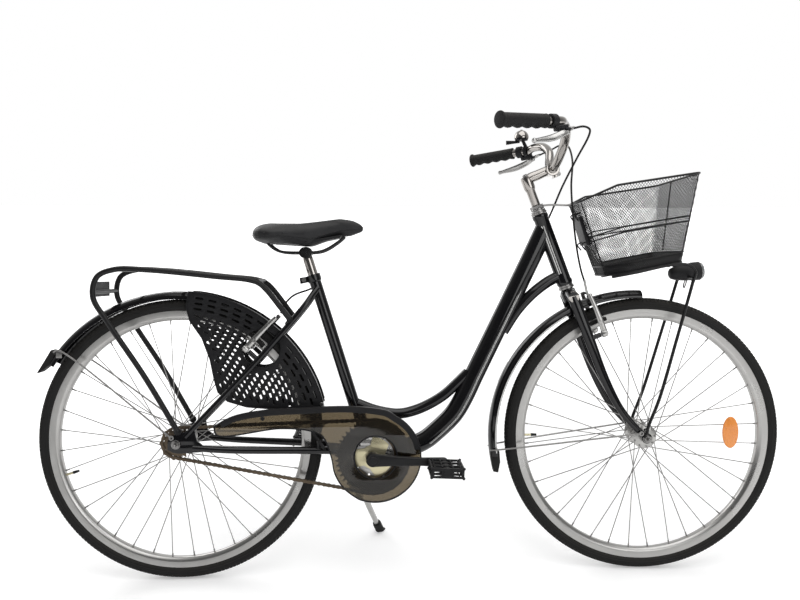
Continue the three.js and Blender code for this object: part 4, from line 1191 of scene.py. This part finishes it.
link_shell = together(link_plate(-2.1, -LINK), link_plate(2.1, -LINK), link_plate(-3.3, 0),
                      link_plate(3.3, 0),
                      *(disc((x, 0, 0), (0, 1, 0), 3.7, 3.4, 0.3, 14) for x in (-LINK, 0)),
                      *(disc((x, 0, 0), (0, 1, 0), 1.9, 8.6, 0.3, 10) for x in (-LINK, 0)))
link_piece = bpy.data.objects.new("link", source_mesh(link_shell))
scene.collection.objects.link(link_piece)
loop = [(x, CHAIN_LINE, z) for x, z in belt()]
chain = grow(along_path, source_curve([loop], closed=True), "chain_steel", Copies=55,
             Link=link_piece)
bpy.data.objects.remove(link_piece)
show("chain_links", chain, "frame", "chain_steel", ["chain"], flip=False)


def tooth(pitch_radius):
    """One tooth at angle 0, with a flat root that sinks into its disc."""
    r = pitch_radius
    return board([(r - 5, -4.6), (r - 1.5, -2.6), (r + 2.8, -1.1), (r + 2.8, 1.1),
                  (r - 1.5, 2.6), (r - 5, 4.6)], CHAIN_LINE, 1.9, bevel=0.3)


show("sprocket_teeth", grow(round_axle, source_mesh(tooth(SPROCKET_PITCH)), "chain_steel",
                            Copies=SPROCKET_TEETH), "freewheel", "chain_steel", flip=False)
show("sprocket_body", turned([(5.9, -53), (15, -53), (16, -52), (21, -49), (21, -46),
                              (32.4, -45.2), (32.4, -42.8), (21, -42), (21, -38), (17, -36.4),
                              (5.9, -36.4), (5.9, -53)]), "freewheel", "chain_steel",
     ["sprocket"])
DROP = math.radians(2.7)                    # the right crank points forwards, a little down
CRANKS = BIKE @ Matrix.Translation((CRANK_X, 0, CRANK_Z))
RIGHT = CRANKS @ Matrix.Rotation(DROP, 4, "Y")
LEFT = CRANKS @ Matrix.Rotation(DROP + math.pi, 4, "Y")
show("chainring_disc", board(circle(0, 0, 85, 120), CHAIN_LINE, 2.4, [circle(0, 0, 50, 60)],
                             bevel=0.4),
     "crankset", "chain_steel", place=RIGHT)
ports = [circle(44 * math.cos(a), 44 * math.sin(a), 2.6, 16) for a in
         [math.radians(k) for k in (20, 95, 140, 215, 260, 335)]]
show("chainring_shield", board(circle(0, 0, 52, 90), -45.4, 1.6, [circle(0, 0, 9.2), *ports],
                               bevel=0.4), "crankset", "alloy", place=RIGHT)
show("chainring_teeth", grow(round_axle, source_mesh(tooth(RING_PITCH)), "alloy",
                             Copies=RING_TEETH),
     "crankset", "alloy", place=RIGHT, flip=False)
spider = []
for k in range(3):
    a = k * 120 + 60
    spider += arc(0, 0, 49, a - 34, a + 20, 8) + arc(0, 0, 30, a + 44, a + 74, 5)
bolts = grow(round_axle, source_mesh(disc((57, -48.4, 0), (0, 1, 0), 4.6, 5)), "alloy",
             Copies=3)
show("chainring_bolts", bolts, "crankset", "alloy",
     place=RIGHT @ Matrix.Rotation(math.radians(60), 4, "Y"), flip=False)
show("chainring_spider", board([(x, -z) for x, z in spider], -47, 3, [circle(0, 0, 9.2)]),
     "crankset", "pale_gold", place=RIGHT)

# %% [markdown]
# Each crank is a forged arm, thick at the spindle and slim at the pedal. A board gives the flat
# outline and an added boss the thickness. The pedals are cages with ribs and studs.

# %% Cranks and pedals
CRANK_LONG = 170


def crank(s):
    """A crank along +X with the hub that clamps the spindle."""
    outline = arc(0, 0, 16.5, 75, 285, 20) + [(60, -11.6), (120, -9.6)]
    outline += arc(CRANK_LONG, 0, 12, -85, 85, 16) + [(120, 9.6), (60, 11.6)]
    arm = board(outline, s * 76, 13, [circle(CRANK_LONG, 0, 4)], bevel=3.2)
    hub = turned([(9, s * 60), (16, s * 60), (17, s * 61.5), (17, s * 79), (15, s * 83),
                  (9, s * 83), (9, s * 60)])
    return together(arm, hub)


for s, label, place in ((-1, "right", RIGHT), (1, "left", LEFT)):
    show(label + "_crank_arm", crank(s), "crankset", "satin_black",
         [label + "_crank"], place)
    show(label + "_pedal_pin", together(
        turned([(0, s * 70), (5.4, s * 70), (5.4, s * 84), (8, s * 84.4), (8, s * 88),
                (5.8, s * 89), (4.6, s * 172), (0, s * 172.5)], (CRANK_LONG, 0, 0), segments=24),
        nut((CRANK_LONG, s * 86.5, 0), (0, 1, 0), 8.4, 3)), "crankset", "steel",
         place=place)
    cover = disc((0, s * 84, 0), (0, 1, 0), 9, 3, 1)
    show(label + "_crank_cap", cover, "crankset", "satin_black", place=place)
show("spindle", tube([(CRANK_X, -81, CRANK_Z), (CRANK_X, 81, CRANK_Z)], 8.6, 24), "crankset",
     "steel", ["crank_spindle"])


def pedal(s):
    """A cage of ribs and four long bars, with studs, drawn round its own pin."""
    y0, y1 = s * 92, s * 173
    middle = (y0 + y1) / 2
    window = [(14, -5.5), (31, -7), (31, 7), (14, 5.5)]
    ribs = [board([(-38, -10), (-34, -12), (34, -12), (38, -10), (38, 10), (34, 12), (-34, 12),
                   (-38, 10)], y, 4, [[(s * x, z) for x, z in window][::s] for s in (-1, 1)],
                  bevel=0.9) for y in (y0, y1, middle - 14, middle + 14)]
    bars = [tube([(x, y0, z), (x, y1, z)], 2.6, 12) for x in (-37, 37) for z in (-9.6, 9.6)]
    grips = [tube([(x, y0 + (y1 - y0) * k / 9, z * 11.2), (x, y0 + (y1 - y0) * k / 9,
                  z * 13)], 2, 8) for k in range(1, 9) for x in (-30, -12, 12, 30)
             for z in (-1, 1)]
    core = turned(sleeve(7, 10, y0, y1), segments=24)
    corners = [ball((x, y, z), 3.6, 12) for x in (-37, 37) for y in (y0, y1) for z in (-11, 11)]
    return together(*ribs, *bars, *grips, *corners, core,
                    disc((0, y1 + s * 1.6, 0), (0, 1, 0), 10, 3, 0.8))


for s, label, place in ((-1, "right", RIGHT), (1, "left", LEFT)):
    at = place @ Matrix.Translation((CRANK_LONG, 0, 0))
    show(label + "_pedal_cage", pedal(s), label + "_pedal_body", "black_plastic",
         [label + "_pedal"], at)
print("drive pieces done", len(made))

# %% [markdown]
# The chain guard is smoked see-through plastic in a black edge, with a round window in front of
# the cranks. The coat guards are black moulded shields with rows of slanted slots, which stop a
# coat from getting into the spokes.

# %% Chain guard and coat guards
GUARD_X, GUARD_Z, GUARD_Y = 478, -38, -58.5         # the round end's centre and the sheet's plane
BAND_WIDTH = 13                                     # the black band along the upper edge
GUARD_TOP = [(90, 42), (133, 64), (206, 78), (300, 83), (400, 86), (463, 82), (509, 73)]
GUARD_TOP += arc(GUARD_X, GUARD_Z, 110, 62, -112, 40)
GUARD = GUARD_TOP + [(400, -112), (379, -77), (370, -34), (349, 16), (318, 29), (248, 35),
                     (96, 21)]
guard_ring = [(p.x, p.z) for p in smooth_path([(x, 0, z) for x, z in GUARD + GUARD[:1]], 8)]
show("chain_guard_sheet", board(guard_ring[:-1], GUARD_Y, 3,
                                [circle(GUARD_X, GUARD_Z, 53, 64)]),
     "frame", "smoked_plastic", ["chain_guard"])
rim_path = [Vector((x, -55, z)) for x, z in guard_ring[:-1]]
rim_section = [(-1.6, -5), (1.4, -5), (1.8, 0), (1.4, 5.5), (-1.6, 5.5)]
show("chain_guard_rim", together(
    carry(rim_path, rim_section, side=(0, 1, 0), loop=True),
    carry([Vector((x, GUARD_Y, z)) for x, z in circle(GUARD_X, GUARD_Z, 52.6, 64)],
          round_section(2.2, 2.6, 10), side=(0, 1, 0), loop=True)), "frame", "black_plastic")
last = next(k for k, (x, z) in enumerate(guard_ring) if x > 500 and z < -20)
edge = [p for p in guard_ring[:last] if p[0] > 100]
lower = []
for k, (x, z) in enumerate(edge):
    (xa, za), (xb, zb) = edge[max(k - 1, 0)], edge[min(k + 1, len(edge) - 1)]
    along = Vector((xb - xa, zb - za)).normalized()
    lower.append((x + along.y * BAND_WIDTH, z - along.x * BAND_WIDTH))
show("chain_guard_band", board(edge + lower[::-1], -60.6, 1), "frame", "black_plastic")
show("chain_guard_tabs", together(
    disc((206, -60.4, 60), (0, 1, 0), 5, 2.4, 0.8), disc((440, -60.4, 74), (0, 1, 0), 5, 2.4),
    board([(318, 30), (326, 26), (356, -14), (350, -18)], -52, 2),
    tube([(338, -38, -22), (338, -56, 4)], 3, 10)), "frame", "satin_black")
COAT = arc(-6, 0, 367, 15, 85, 30) + [(20, 330), (28, 295), (57, 252), (76, 200), (85, 153),
                                      (94, 120), (117, 97), (163, 83), (240, 76), (345, 79)]


def inside(point, ring, margin):
    """True where a point lies inside a ring and clear of its edge."""
    x, z = point
    hit = False
    near = 1e9
    for (x1, z1), (x2, z2) in zip(ring, ring[1:] + ring[:1]):
        if (z1 > z) != (z2 > z) and x < x1 + (z - z1) * (x2 - x1) / (z2 - z1):
            hit = not hit
        edge = Vector((x2 - x1, z2 - z1))
        t = max(0, min(1, Vector((x - x1, z - z1)).dot(edge) / max(edge.dot(edge), 1e-9)))
        near = min(near, (Vector((x, z)) - Vector((x1, z1)) - edge * t).length)
    return hit and near > margin


def slot_ring(x, z, turn, half_length, half_width):
    """The outline of a slot with round ends, turned by an angle."""
    way = Vector((math.cos(turn), math.sin(turn)))
    wide = Vector((-way.y, way.x))
    ring = []
    for k in range(14):
        a = math.tau * (k + 0.5) / 14
        end = way * (half_length - half_width) * (1 if math.cos(a) > 0 else -1)
        p = Vector((x, z)) + end + (way * math.cos(a) + wide * math.sin(a)) * half_width
        ring.append((p.x, p.y))
    return ring


WINDOW_X, WINDOW_Z, WINDOW_RADIUS = 200, 226, 46    # the opening round the brake
OUTER_ROWS = 3                                      # these have longer slots, further apart
slot_rings = []
for row in range(24):
    outer = row < OUTER_ROWS
    radius = 353 - row * 13 if outer else 310 - (row - OUTER_ROWS) * 11.4
    pitch, tilt, half_sizes = (1830, 90, (10, 3)) if outer else (1150, 80, (6.6, 2.7))
    for k in range(80):
        a = 8 + (k + row % 2 / 2) * pitch / radius
        x, z = -6 + radius * math.cos(math.radians(a)), radius * math.sin(math.radians(a))
        ring = slot_ring(x, z, math.radians(a + tilt), *half_sizes)
        from_window = math.hypot(x - WINDOW_X, z - WINDOW_Z) - WINDOW_RADIUS
        if a < 90 and from_window > 9 and all(inside(p, COAT, 5) for p in ring):
            slot_rings.append(ring)


def coat_shield(s):
    """One side's shield: the slotted sheet and its rolled edge."""
    window = circle(WINDOW_X, WINDOW_Z, WINDOW_RADIUS, 48)
    sheet = board(COAT, s * 27.2, 2.4, [window, *slot_rings], bevel=0.5)
    edge = carry([Vector((x, s * 27.4, z)) for x, z in COAT], round_section(1.8, 2.4, 10),
                 side=(0, 1, 0), loop=True)
    return together(sheet, edge)


show("coat_shields", both_sides(coat_shield), "frame", "black_plastic",
     ["coat_guard_right", "coat_guard_left"])
show("coat_clips", both_sides(lambda s: disc((346, s * 29, 88), (0, 1, 0), 4.6, 2.4, 0.8)),
     "frame", "steel")
print("slots", len(slot_rings))


# %% [markdown]
# The rack is one bent bar on each side, joined by crossbars, with four long rails between them.
# Each bar has a round foot at both ends, which bolts it to the frame.

# %% Rear rack and reflector
def rack_side(s):
    """One side's bent bar with its feet and the two rails beside it."""
    return together(
        tube([(8, s * 74, 34), (-66, s * 77, 165), (-150, s * 80, 297), (-182, s * 80, 355),
              (-172, s * 79, 402), (-132, s * 78, 419), (-60, s * 74, 418), (100, s * 66, 402),
              (180, s * 60, 393), (204, s * 58, 383), (272, s * 53.5, 299)], 6.6, 20),
        disc((8, s * 74, 34), (0, 1, 0), 9, 5, 1), nut((8, s * 79, 34), (0, 1, 0), 5.4, 4),
        tube([(-134, s * 24, 420), (20, s * 24, 410), (194, s * 24, 392)], 3.2, 12),
        tube([(-134, s * 46, 420), (20, s * 44, 411), (194, s * 38, 392)], 3.2, 12),
        disc((272, s * 53.5, 299), (0, 1, 0), 8, 5, 1))


show("rack_tubes", together(
    both_sides(rack_side), *(tube([(x, -w, z), (x, w, z)], 5.2, 16) for x, z, w in
                             ((-132, 419, 77), (-182, 366, 79), (0, 413, 70), (100, 402, 66),
                              (196, 391, 59)))),
     "frame", "satin_black", ["rear_rack"])
show("rear_reflector_plate", board([(-188, 354), (-188, 390), (-191, 390), (-191, 354)], 0, 92,
                                   bevel=0.8), "frame", "black_plastic",
     ["rear_reflector"])
show("rear_reflector_lens", board([(-191.6, 357), (-191.6, 387), (-197, 387), (-197, 357)], 0,
                                  84, bevel=1.4), "frame", "red_plastic")

# %% [markdown]
# Each wheel has a linear-pull brake: two slim arms on bosses, each with a black shoe beside the
# rim, and a wire across their tops inside a rubber boot. A curved noodle leads in the front wire.

# %% Brakes
# Each brake: its boss's foot, the ways up and out in (x, z), its place and its fixed body.
BRAKES = {"rear": ((194, 44.5, 199.6), (0.692, 0.722), (-0.722, 0.692), BIKE, "frame"),
          "front": ((1009, 46, 247), (-0.355, 0.935), (0.935, 0.355), BARS, "steering")}


def brake_point(foot, up, out, s, along, away=40.0, y=None):
    """A point measured up an arm from its boss and outwards from the stay."""
    return Vector((foot[0] + up[0] * along + out[0] * away, s * (foot[1] if y is None else y),
                   foot[2] + up[1] * along + out[1] * away))


def brake_arm(at, way):
    """An arm with its boss sleeve, bolts and shoe post."""
    bar = carry(smooth_path([at(-6), at(30, 41), at(70, 41, 43), at(104, 40, 38)], 3),
                lambda t: round_section(3.4, 8.4 - 3.6 * t, 20), side=way)
    boss = turned([(3, -7), (8.4, -7), (9, -6), (9, 4), (6, 5), (3, 5), (3, -7)], at(0), way, 24)
    return together(bar, boss, tube([at(29, 40, 22), at(29, 40, 46)], 3.4, 16),
                    nut(at(29, 40, 49), (0, 1, 0), 5.4, 4), disc(at(0, 46), way, 5.4, 4, 0.8))


def brake_shoe(at):
    """A rubber block beside the rim."""
    return carry(smooth_path([at(28, 14, 19.6), at(29.4, 38, 19.4), at(28, 62, 19.6)], 3),
                 lambda t: round_section(4.8, 3.8, 16), side=(0, 1, 0))


for end, (foot, up, out, place, fixed) in BRAKES.items():
    for s, label in ((-1, "right"), (1, "left")):
        at = partial(brake_point, foot, up, out, s)
        body = f"{end}_arm_{label}"
        show(f"{end}_brake_arm_bar_{label}", brake_arm(at, Vector((out[0], 0, out[1]))), body,
             "alloy", [f"{end}_brake_arm_{label}"], place)
        show(f"{end}_brake_shoe_{label}", brake_shoe(at), body, "rubber", place=place)
    left_top, right_top = (brake_point(foot, up, out, s, 102, 42, 36) for s in (1, -1))
    show(end + "_brake_wire", tube([left_top, right_top], 1.0, 8), fixed, "steel",
         place=place)
    boot = [left_top.lerp(right_top, 0.12), left_top.lerp(right_top, 0.5)]
    show(end + "_brake_boot", tube(boot, lambda t: 4 - 1.6 * t + 0.5 * math.sin(t * 30), 14),
         fixed, "rubber", place=place)

# %% [markdown]
# The brake cables are black housings, and each is drawn along its own route. The upper rear one
# runs between the bars and the frame, so it is tied to neither of them.

# %% Cables
show("rear_cable", tube([(862, 29, 430), (820, 31, 345), (778, 29.5, 256), (728, 29.5, 155),
                         (690, 29.5, 78), (640, 29.5, 16), (598, 30, -14), (545, 30, -30),
                         (500, 30, -24), (458, 28, 10), (432, 20, 60), (414, 19, 118),
                         (350, 19, 322), (332, 22, 372), (305, 30, 366), (270, 38, 352),
                         (245, 38, 324), (240, 37, 308)], 2.4, 12), "frame", "rubber",
     ["rear_brake_cable"])
upper = show("rear_cable_upper", tube([(916, -208, 728), (940, -200, 734), (960, -182, 732),
                                       (968, -150, 722), (958, -90, 680), (940, -30, 620),
                                       (925, 14, 562), (905, 27, 515), (862.5, 29, 430)],
                                      2.4, 12), None, "rubber",
             ["rear_brake_cable_upper"])
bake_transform(upper)
show("front_cable", tube([(916, 208, 728), (938, 200, 738), (955, 180, 744), (968, 130, 748),
                          (975, 60, 735), (975, 10, 690), (966, -20, 620), (975, -28, 500),
                          (988, -34, 420), (1000, -36, 380), (1006, -30, 358)], 2.4, 12),
     "steering", "rubber", ["front_brake_cable"], BARS)
show("front_noodle", tube([(997, -36, 392), (1003, -35, 366), (1008, -28, 354),
                           (1010, -18, 350)], 2.9, 12), "steering", "alloy", place=BARS)

# %% [markdown]
# The saddle is a padded shell: broad at the back, with a slim nose. A coarse closed form is
# lofted from side and top outlines, then a cloth simulation with a little pressure swells it,
# and a cap on how far each point may move keeps it within its real size.

# %% Saddle
SADDLE_TOP = [(176, 512), (186, 527), (201, 533), (245, 532), (295, 532), (330, 536),
              (361, 540), (400, 545), (425, 545), (446, 536), (457, 520)]
SADDLE_LOW = [(176, 492), (186, 487), (201, 485), (241, 484), (281, 480), (323, 478),
              (356, 490), (396, 502), (425, 505), (446, 510), (457, 516)]
SADDLE_WIDE = [(176, 34), (186, 68), (201, 84), (225, 91), (255, 87), (281, 74), (310, 54),
               (340, 40), (361, 35), (400, 29), (430, 23), (446, 16), (457, 6)]


def along_x(rows, x):
    """A value read off rows of (x, value), straight between them."""
    for (x0, v0), (x1, v1) in zip(rows, rows[1:]):
        if x <= x1:
            return v0 + (v1 - v0) * max(0.0, (x - x0) / (x1 - x0))
    return rows[-1][1]


def saddle_form(shrink):
    """A closed loft of rounded cross sections from tail to nose."""
    points, faces = [], []
    stations, sides = 46, 36
    for i in range(stations):
        t = i / (stations - 1)
        x = 177 + shrink + (279 - 2 * shrink) * t
        top, low, wide = (along_x(r, x) for r in (SADDLE_TOP, SADDLE_LOW, SADDLE_WIDE))
        top, low, wide = top - shrink, low + shrink * 0.4, max(4, wide - shrink)
        for k in range(sides):
            a = math.tau * k / sides
            c, s = math.cos(a), math.sin(a)
            y = wide * math.copysign(abs(c) ** 0.72, c)
            droop = (abs(y) / 92) ** 2 * 9 if s > 0 else 0
            height = (top - low) / 2
            z = (top + low) / 2 + height * math.copysign(abs(s) ** 0.62, s) - droop
            points.append(Vector((x, y, z)))
    for i in range(stations - 1):
        for k in range(sides):
            m = (k + 1) % sides
            faces.append((i * sides + k, i * sides + m, (i + 1) * sides + m,
                          (i + 1) * sides + k))
    faces += [tuple(reversed(range(sides))),
              tuple(range((stations - 1) * sides, stations * sides))]
    return points, faces


SWELL = 5                                   # how far the padding may swell, in millimetres
CAP = SWELL / 1000                          # the same in metres
saddle = show("saddle_cover", saddle_form(SWELL), "seat", "leatherette",
              ["saddle"], sharp=60)
bpy.context.view_layer.objects.active = saddle


def applied(obj):
    """Turns what the modifiers show into the object's own mesh."""
    shown = bpy.data.meshes.new_from_object(obj.evaluated_get(
        bpy.context.evaluated_depsgraph_get()))
    obj.modifiers.clear()
    obj.data = shown


remesh = saddle.modifiers.new("even_mesh", "REMESH")
remesh.mode, remesh.voxel_size, remesh.use_smooth_shade = "VOXEL", 0.0042, True
applied(saddle)
rest = [v.co.copy() for v in saddle.data.vertices]
cloth = saddle.modifiers.new("swell", "CLOTH")
cloth.settings.use_pressure = True
cloth.settings.uniform_pressure_force = 4.0
cloth.settings.effector_weights.gravity = 0
cloth.point_cache.frame_start, cloth.point_cache.frame_end = 1, 20
for step in range(1, 21):
    scene.frame_set(step)
applied(saddle)
far = 0.0
for v, start in zip(saddle.data.vertices, rest):
    move = v.co - start
    if move.length > CAP:
        v.co = start + move.normalized() * CAP
    far = max(far, (v.co - start).length)
scene.frame_set(1)
print("saddle swelled by up to", round(far * 1000, 1), "mm")
finer = saddle.modifiers.new("finer", "SUBSURF")
finer.levels = finer.render_levels = 1
applied(saddle)
saddle.data.materials.clear()
saddle.data.materials.append(FINISH["leatherette"])
saddle.data.shade_smooth()
print("saddle faces", len(saddle.data.polygons))

# %% [markdown]
# A welt runs round the saddle where the cover is tucked under its base, with two small rivets on
# each side. They are found on the swelled surface itself, so they lie on it.

# %% Saddle trim, rails and seat post
tree = BVHTree.FromObject(saddle, bpy.context.evaluated_depsgraph_get())

def on_saddle(x, y, z):
    """The nearest point of the saddle's surface, in bicycle millimetres."""
    return TO_BIKE @ tree.find_nearest(BIKE @ Vector((x, y, z)))[0]


welt = []
for k in range(110):
    a = math.tau * k / 110
    x = 316 - 138 * math.cos(a)
    y = along_x(SADDLE_WIDE, x) * (1.02 if math.sin(a) > 0 else -1.02)
    if abs(math.sin(a)) < 0.16:
        y *= abs(math.sin(a)) / 0.16
    z = along_x(SADDLE_LOW, x) + 9
    welt.append(on_saddle(x, y, z))
show("saddle_welt", carry(welt, round_section(1.3, sides=8), loop=True), "seat",
     "black_plastic")
show("saddle_rivets", together(*(
    ball(on_saddle(x, s * along_x(SADDLE_WIDE, x), 505), 2.4, 12)
    for x in (215, 262) for s in (-1, 1))), "seat", "black_plastic")
show("saddle_rail_wires", both_sides(lambda s: tube(
    [(216, s * 25, 484), (226, s * 24.6, 474), (246, s * 22, 463), (300, s * 22, 460),
     (350, s * 22, 464), (392, s * 17, 489), (404, s * 16, 500)], 3.5, 16)),
     "seat", "satin_black", ["saddle_rails"])
show("saddle_base", board([(232, 481), (300, 477), (392, 496), (398, 503), (300, 486),
                           (236, 490)], 0, 62, bevel=1.5), "seat", "black_plastic")
post_foot = Vector((seat_x(253), 0, 253))
show("seat_post_tube", together(
    turned([(0, 32), (11.6, 32), (12.7, 33.4), (12.7, 196), (12, 203), (10.6, 212), (0, 212)],
           post_foot, SEAT_AXIS)), "seat", "chrome", ["seat_post"])
show("seat_clamp", together(
    disc((309, 0, 460), (0, 1, 0), 14.5, 38, 1.2),
    both_sides(lambda s: together(disc((306, s * 22, 460), (0, 1, 0), 13.4, 9, 1),
                                  disc((306, s * 29, 460), (0, 1, 0), 10, 3, 0.8))),
    both_sides(lambda s: nut((306, s * 33, 460), (0, 1, 0), 7.2, 5)),
    tube([(306, -38, 460), (306, 38, 460)], 3.6, 14)), "seat", "satin_black")

# %% [markdown]
# The side stand is a forged alloy leg on a bracket behind the cranks. A coil spring holds it at
# either end of its swing, and its foot is a ribbed rubber shoe cut flat by the floor.

# %% Kickstand
STAND_TOP, STAND_TIP = Vector((412.8, 25, -78)), Vector((492.7, 207, -313))
leg_way = (STAND_TIP - STAND_TOP).normalized()


def on_leg(t):
    """A point of the leg: 0 at its pivot and 1 at its foot."""
    return STAND_TOP.lerp(STAND_TIP, t)


show("stand_leg", together(
    carry(smooth_path([on_leg(0.0), on_leg(0.25) + Vector((3, 2, 2)), on_leg(0.6), on_leg(0.94)],
                      5), lambda t: round_section(9.2 - 1.8 * t, 7.6 - 1.2 * t, 24)),
    ball(STAND_TOP, 11), disc(STAND_TOP, (0.1157, 0.766, 0.633), 12, 15, 1.5)),
     "kickstand", "alloy", ["kickstand_leg"])
show("stand_bracket", together(
    board([(389, -47.2), (435, -47.2), (435, -54.8), (428, -55), (426, -72), (400, -72),
           (396, -55), (389, -54.8)], 6, 18, bevel=1.6),
    board([(389, -47.2), (435, -47.2), (435, -54.8), (389, -54.8)], 2, 44, bevel=1.2),
    nut((412, -4, -60), (0, 0, 1), 7, 9)), "frame", "alloy", ["kickstand_bracket"])
coil = []
for k in range(150):
    a = k * 0.62
    coil.append(on_leg(0.06 + 0.2 * k / 150) + Vector((-6, -4, -4))
                + Vector((math.cos(a) * 3.6, 0, math.sin(a) * 3.6)))
show("stand_spring", grow(wires, source_curve([coil]), "steel", Radius=0.9), "kickstand",
     "steel")


def stand_shoe():
    """The foot's shell, with its lowest points held at the floor."""
    profile = [(0, 0), (9.6, 0), (11, 2)]
    profile += [(11.2 + 0.7 * (k % 2), 4 + k * 4) for k in range(11)]
    profile += [(11.4, 50), (11, 57), (0, 57)]
    points, faces = turned(profile, on_leg(0.87), leg_way, 32)
    floor = 0.0012
    for p in points:
        world_point = BIKE @ p
        if world_point.z < floor:
            world_point.z = floor
            p[:] = TO_BIKE @ world_point
    return points, faces


show("stand_foot", stand_shoe(), "kickstand", "rubber", ["kickstand_foot"])
print("pieces", len(made), "faces", sum(made.values()))

# %% [markdown]
# The floor is a wide pale sheet, faintly mottled, and it isn't part of the bicycle. It glows
# more the further it lies from the wheels, so it runs into the white room without an edge.

# %% Floor
finish("floor_white", (0.86, 0.86, 0.86), (0.82, 0.82, 0.82), (0.5, 0.65), 0.0, 300, 0.02, 0.0)
bpy.ops.mesh.primitive_plane_add(size=30, location=(0, 0, 0))
floor = bpy.context.object
floor.name = "floor"
floor.data.materials.append(FINISH["floor_white"])
ground = FINISH["floor_white"].node_tree
reach = put(ground, "ShaderNodeVectorMath",
            {0: put(ground, "ShaderNodeTexCoord").outputs["Object"]}, operation="LENGTH")
glow = put(ground, "ShaderNodeMapRange", {"Value": reach.outputs["Value"], "From Min": 1.0,
           "From Max": 3.2, "To Min": 0.3, "To Max": 1.0})
paint = ground.nodes["Principled BSDF"]
ground.links.new(glow.outputs[0], paint.inputs["Emission Strength"])
paint.inputs["Emission Color"].default_value = (1, 1, 1, 1)
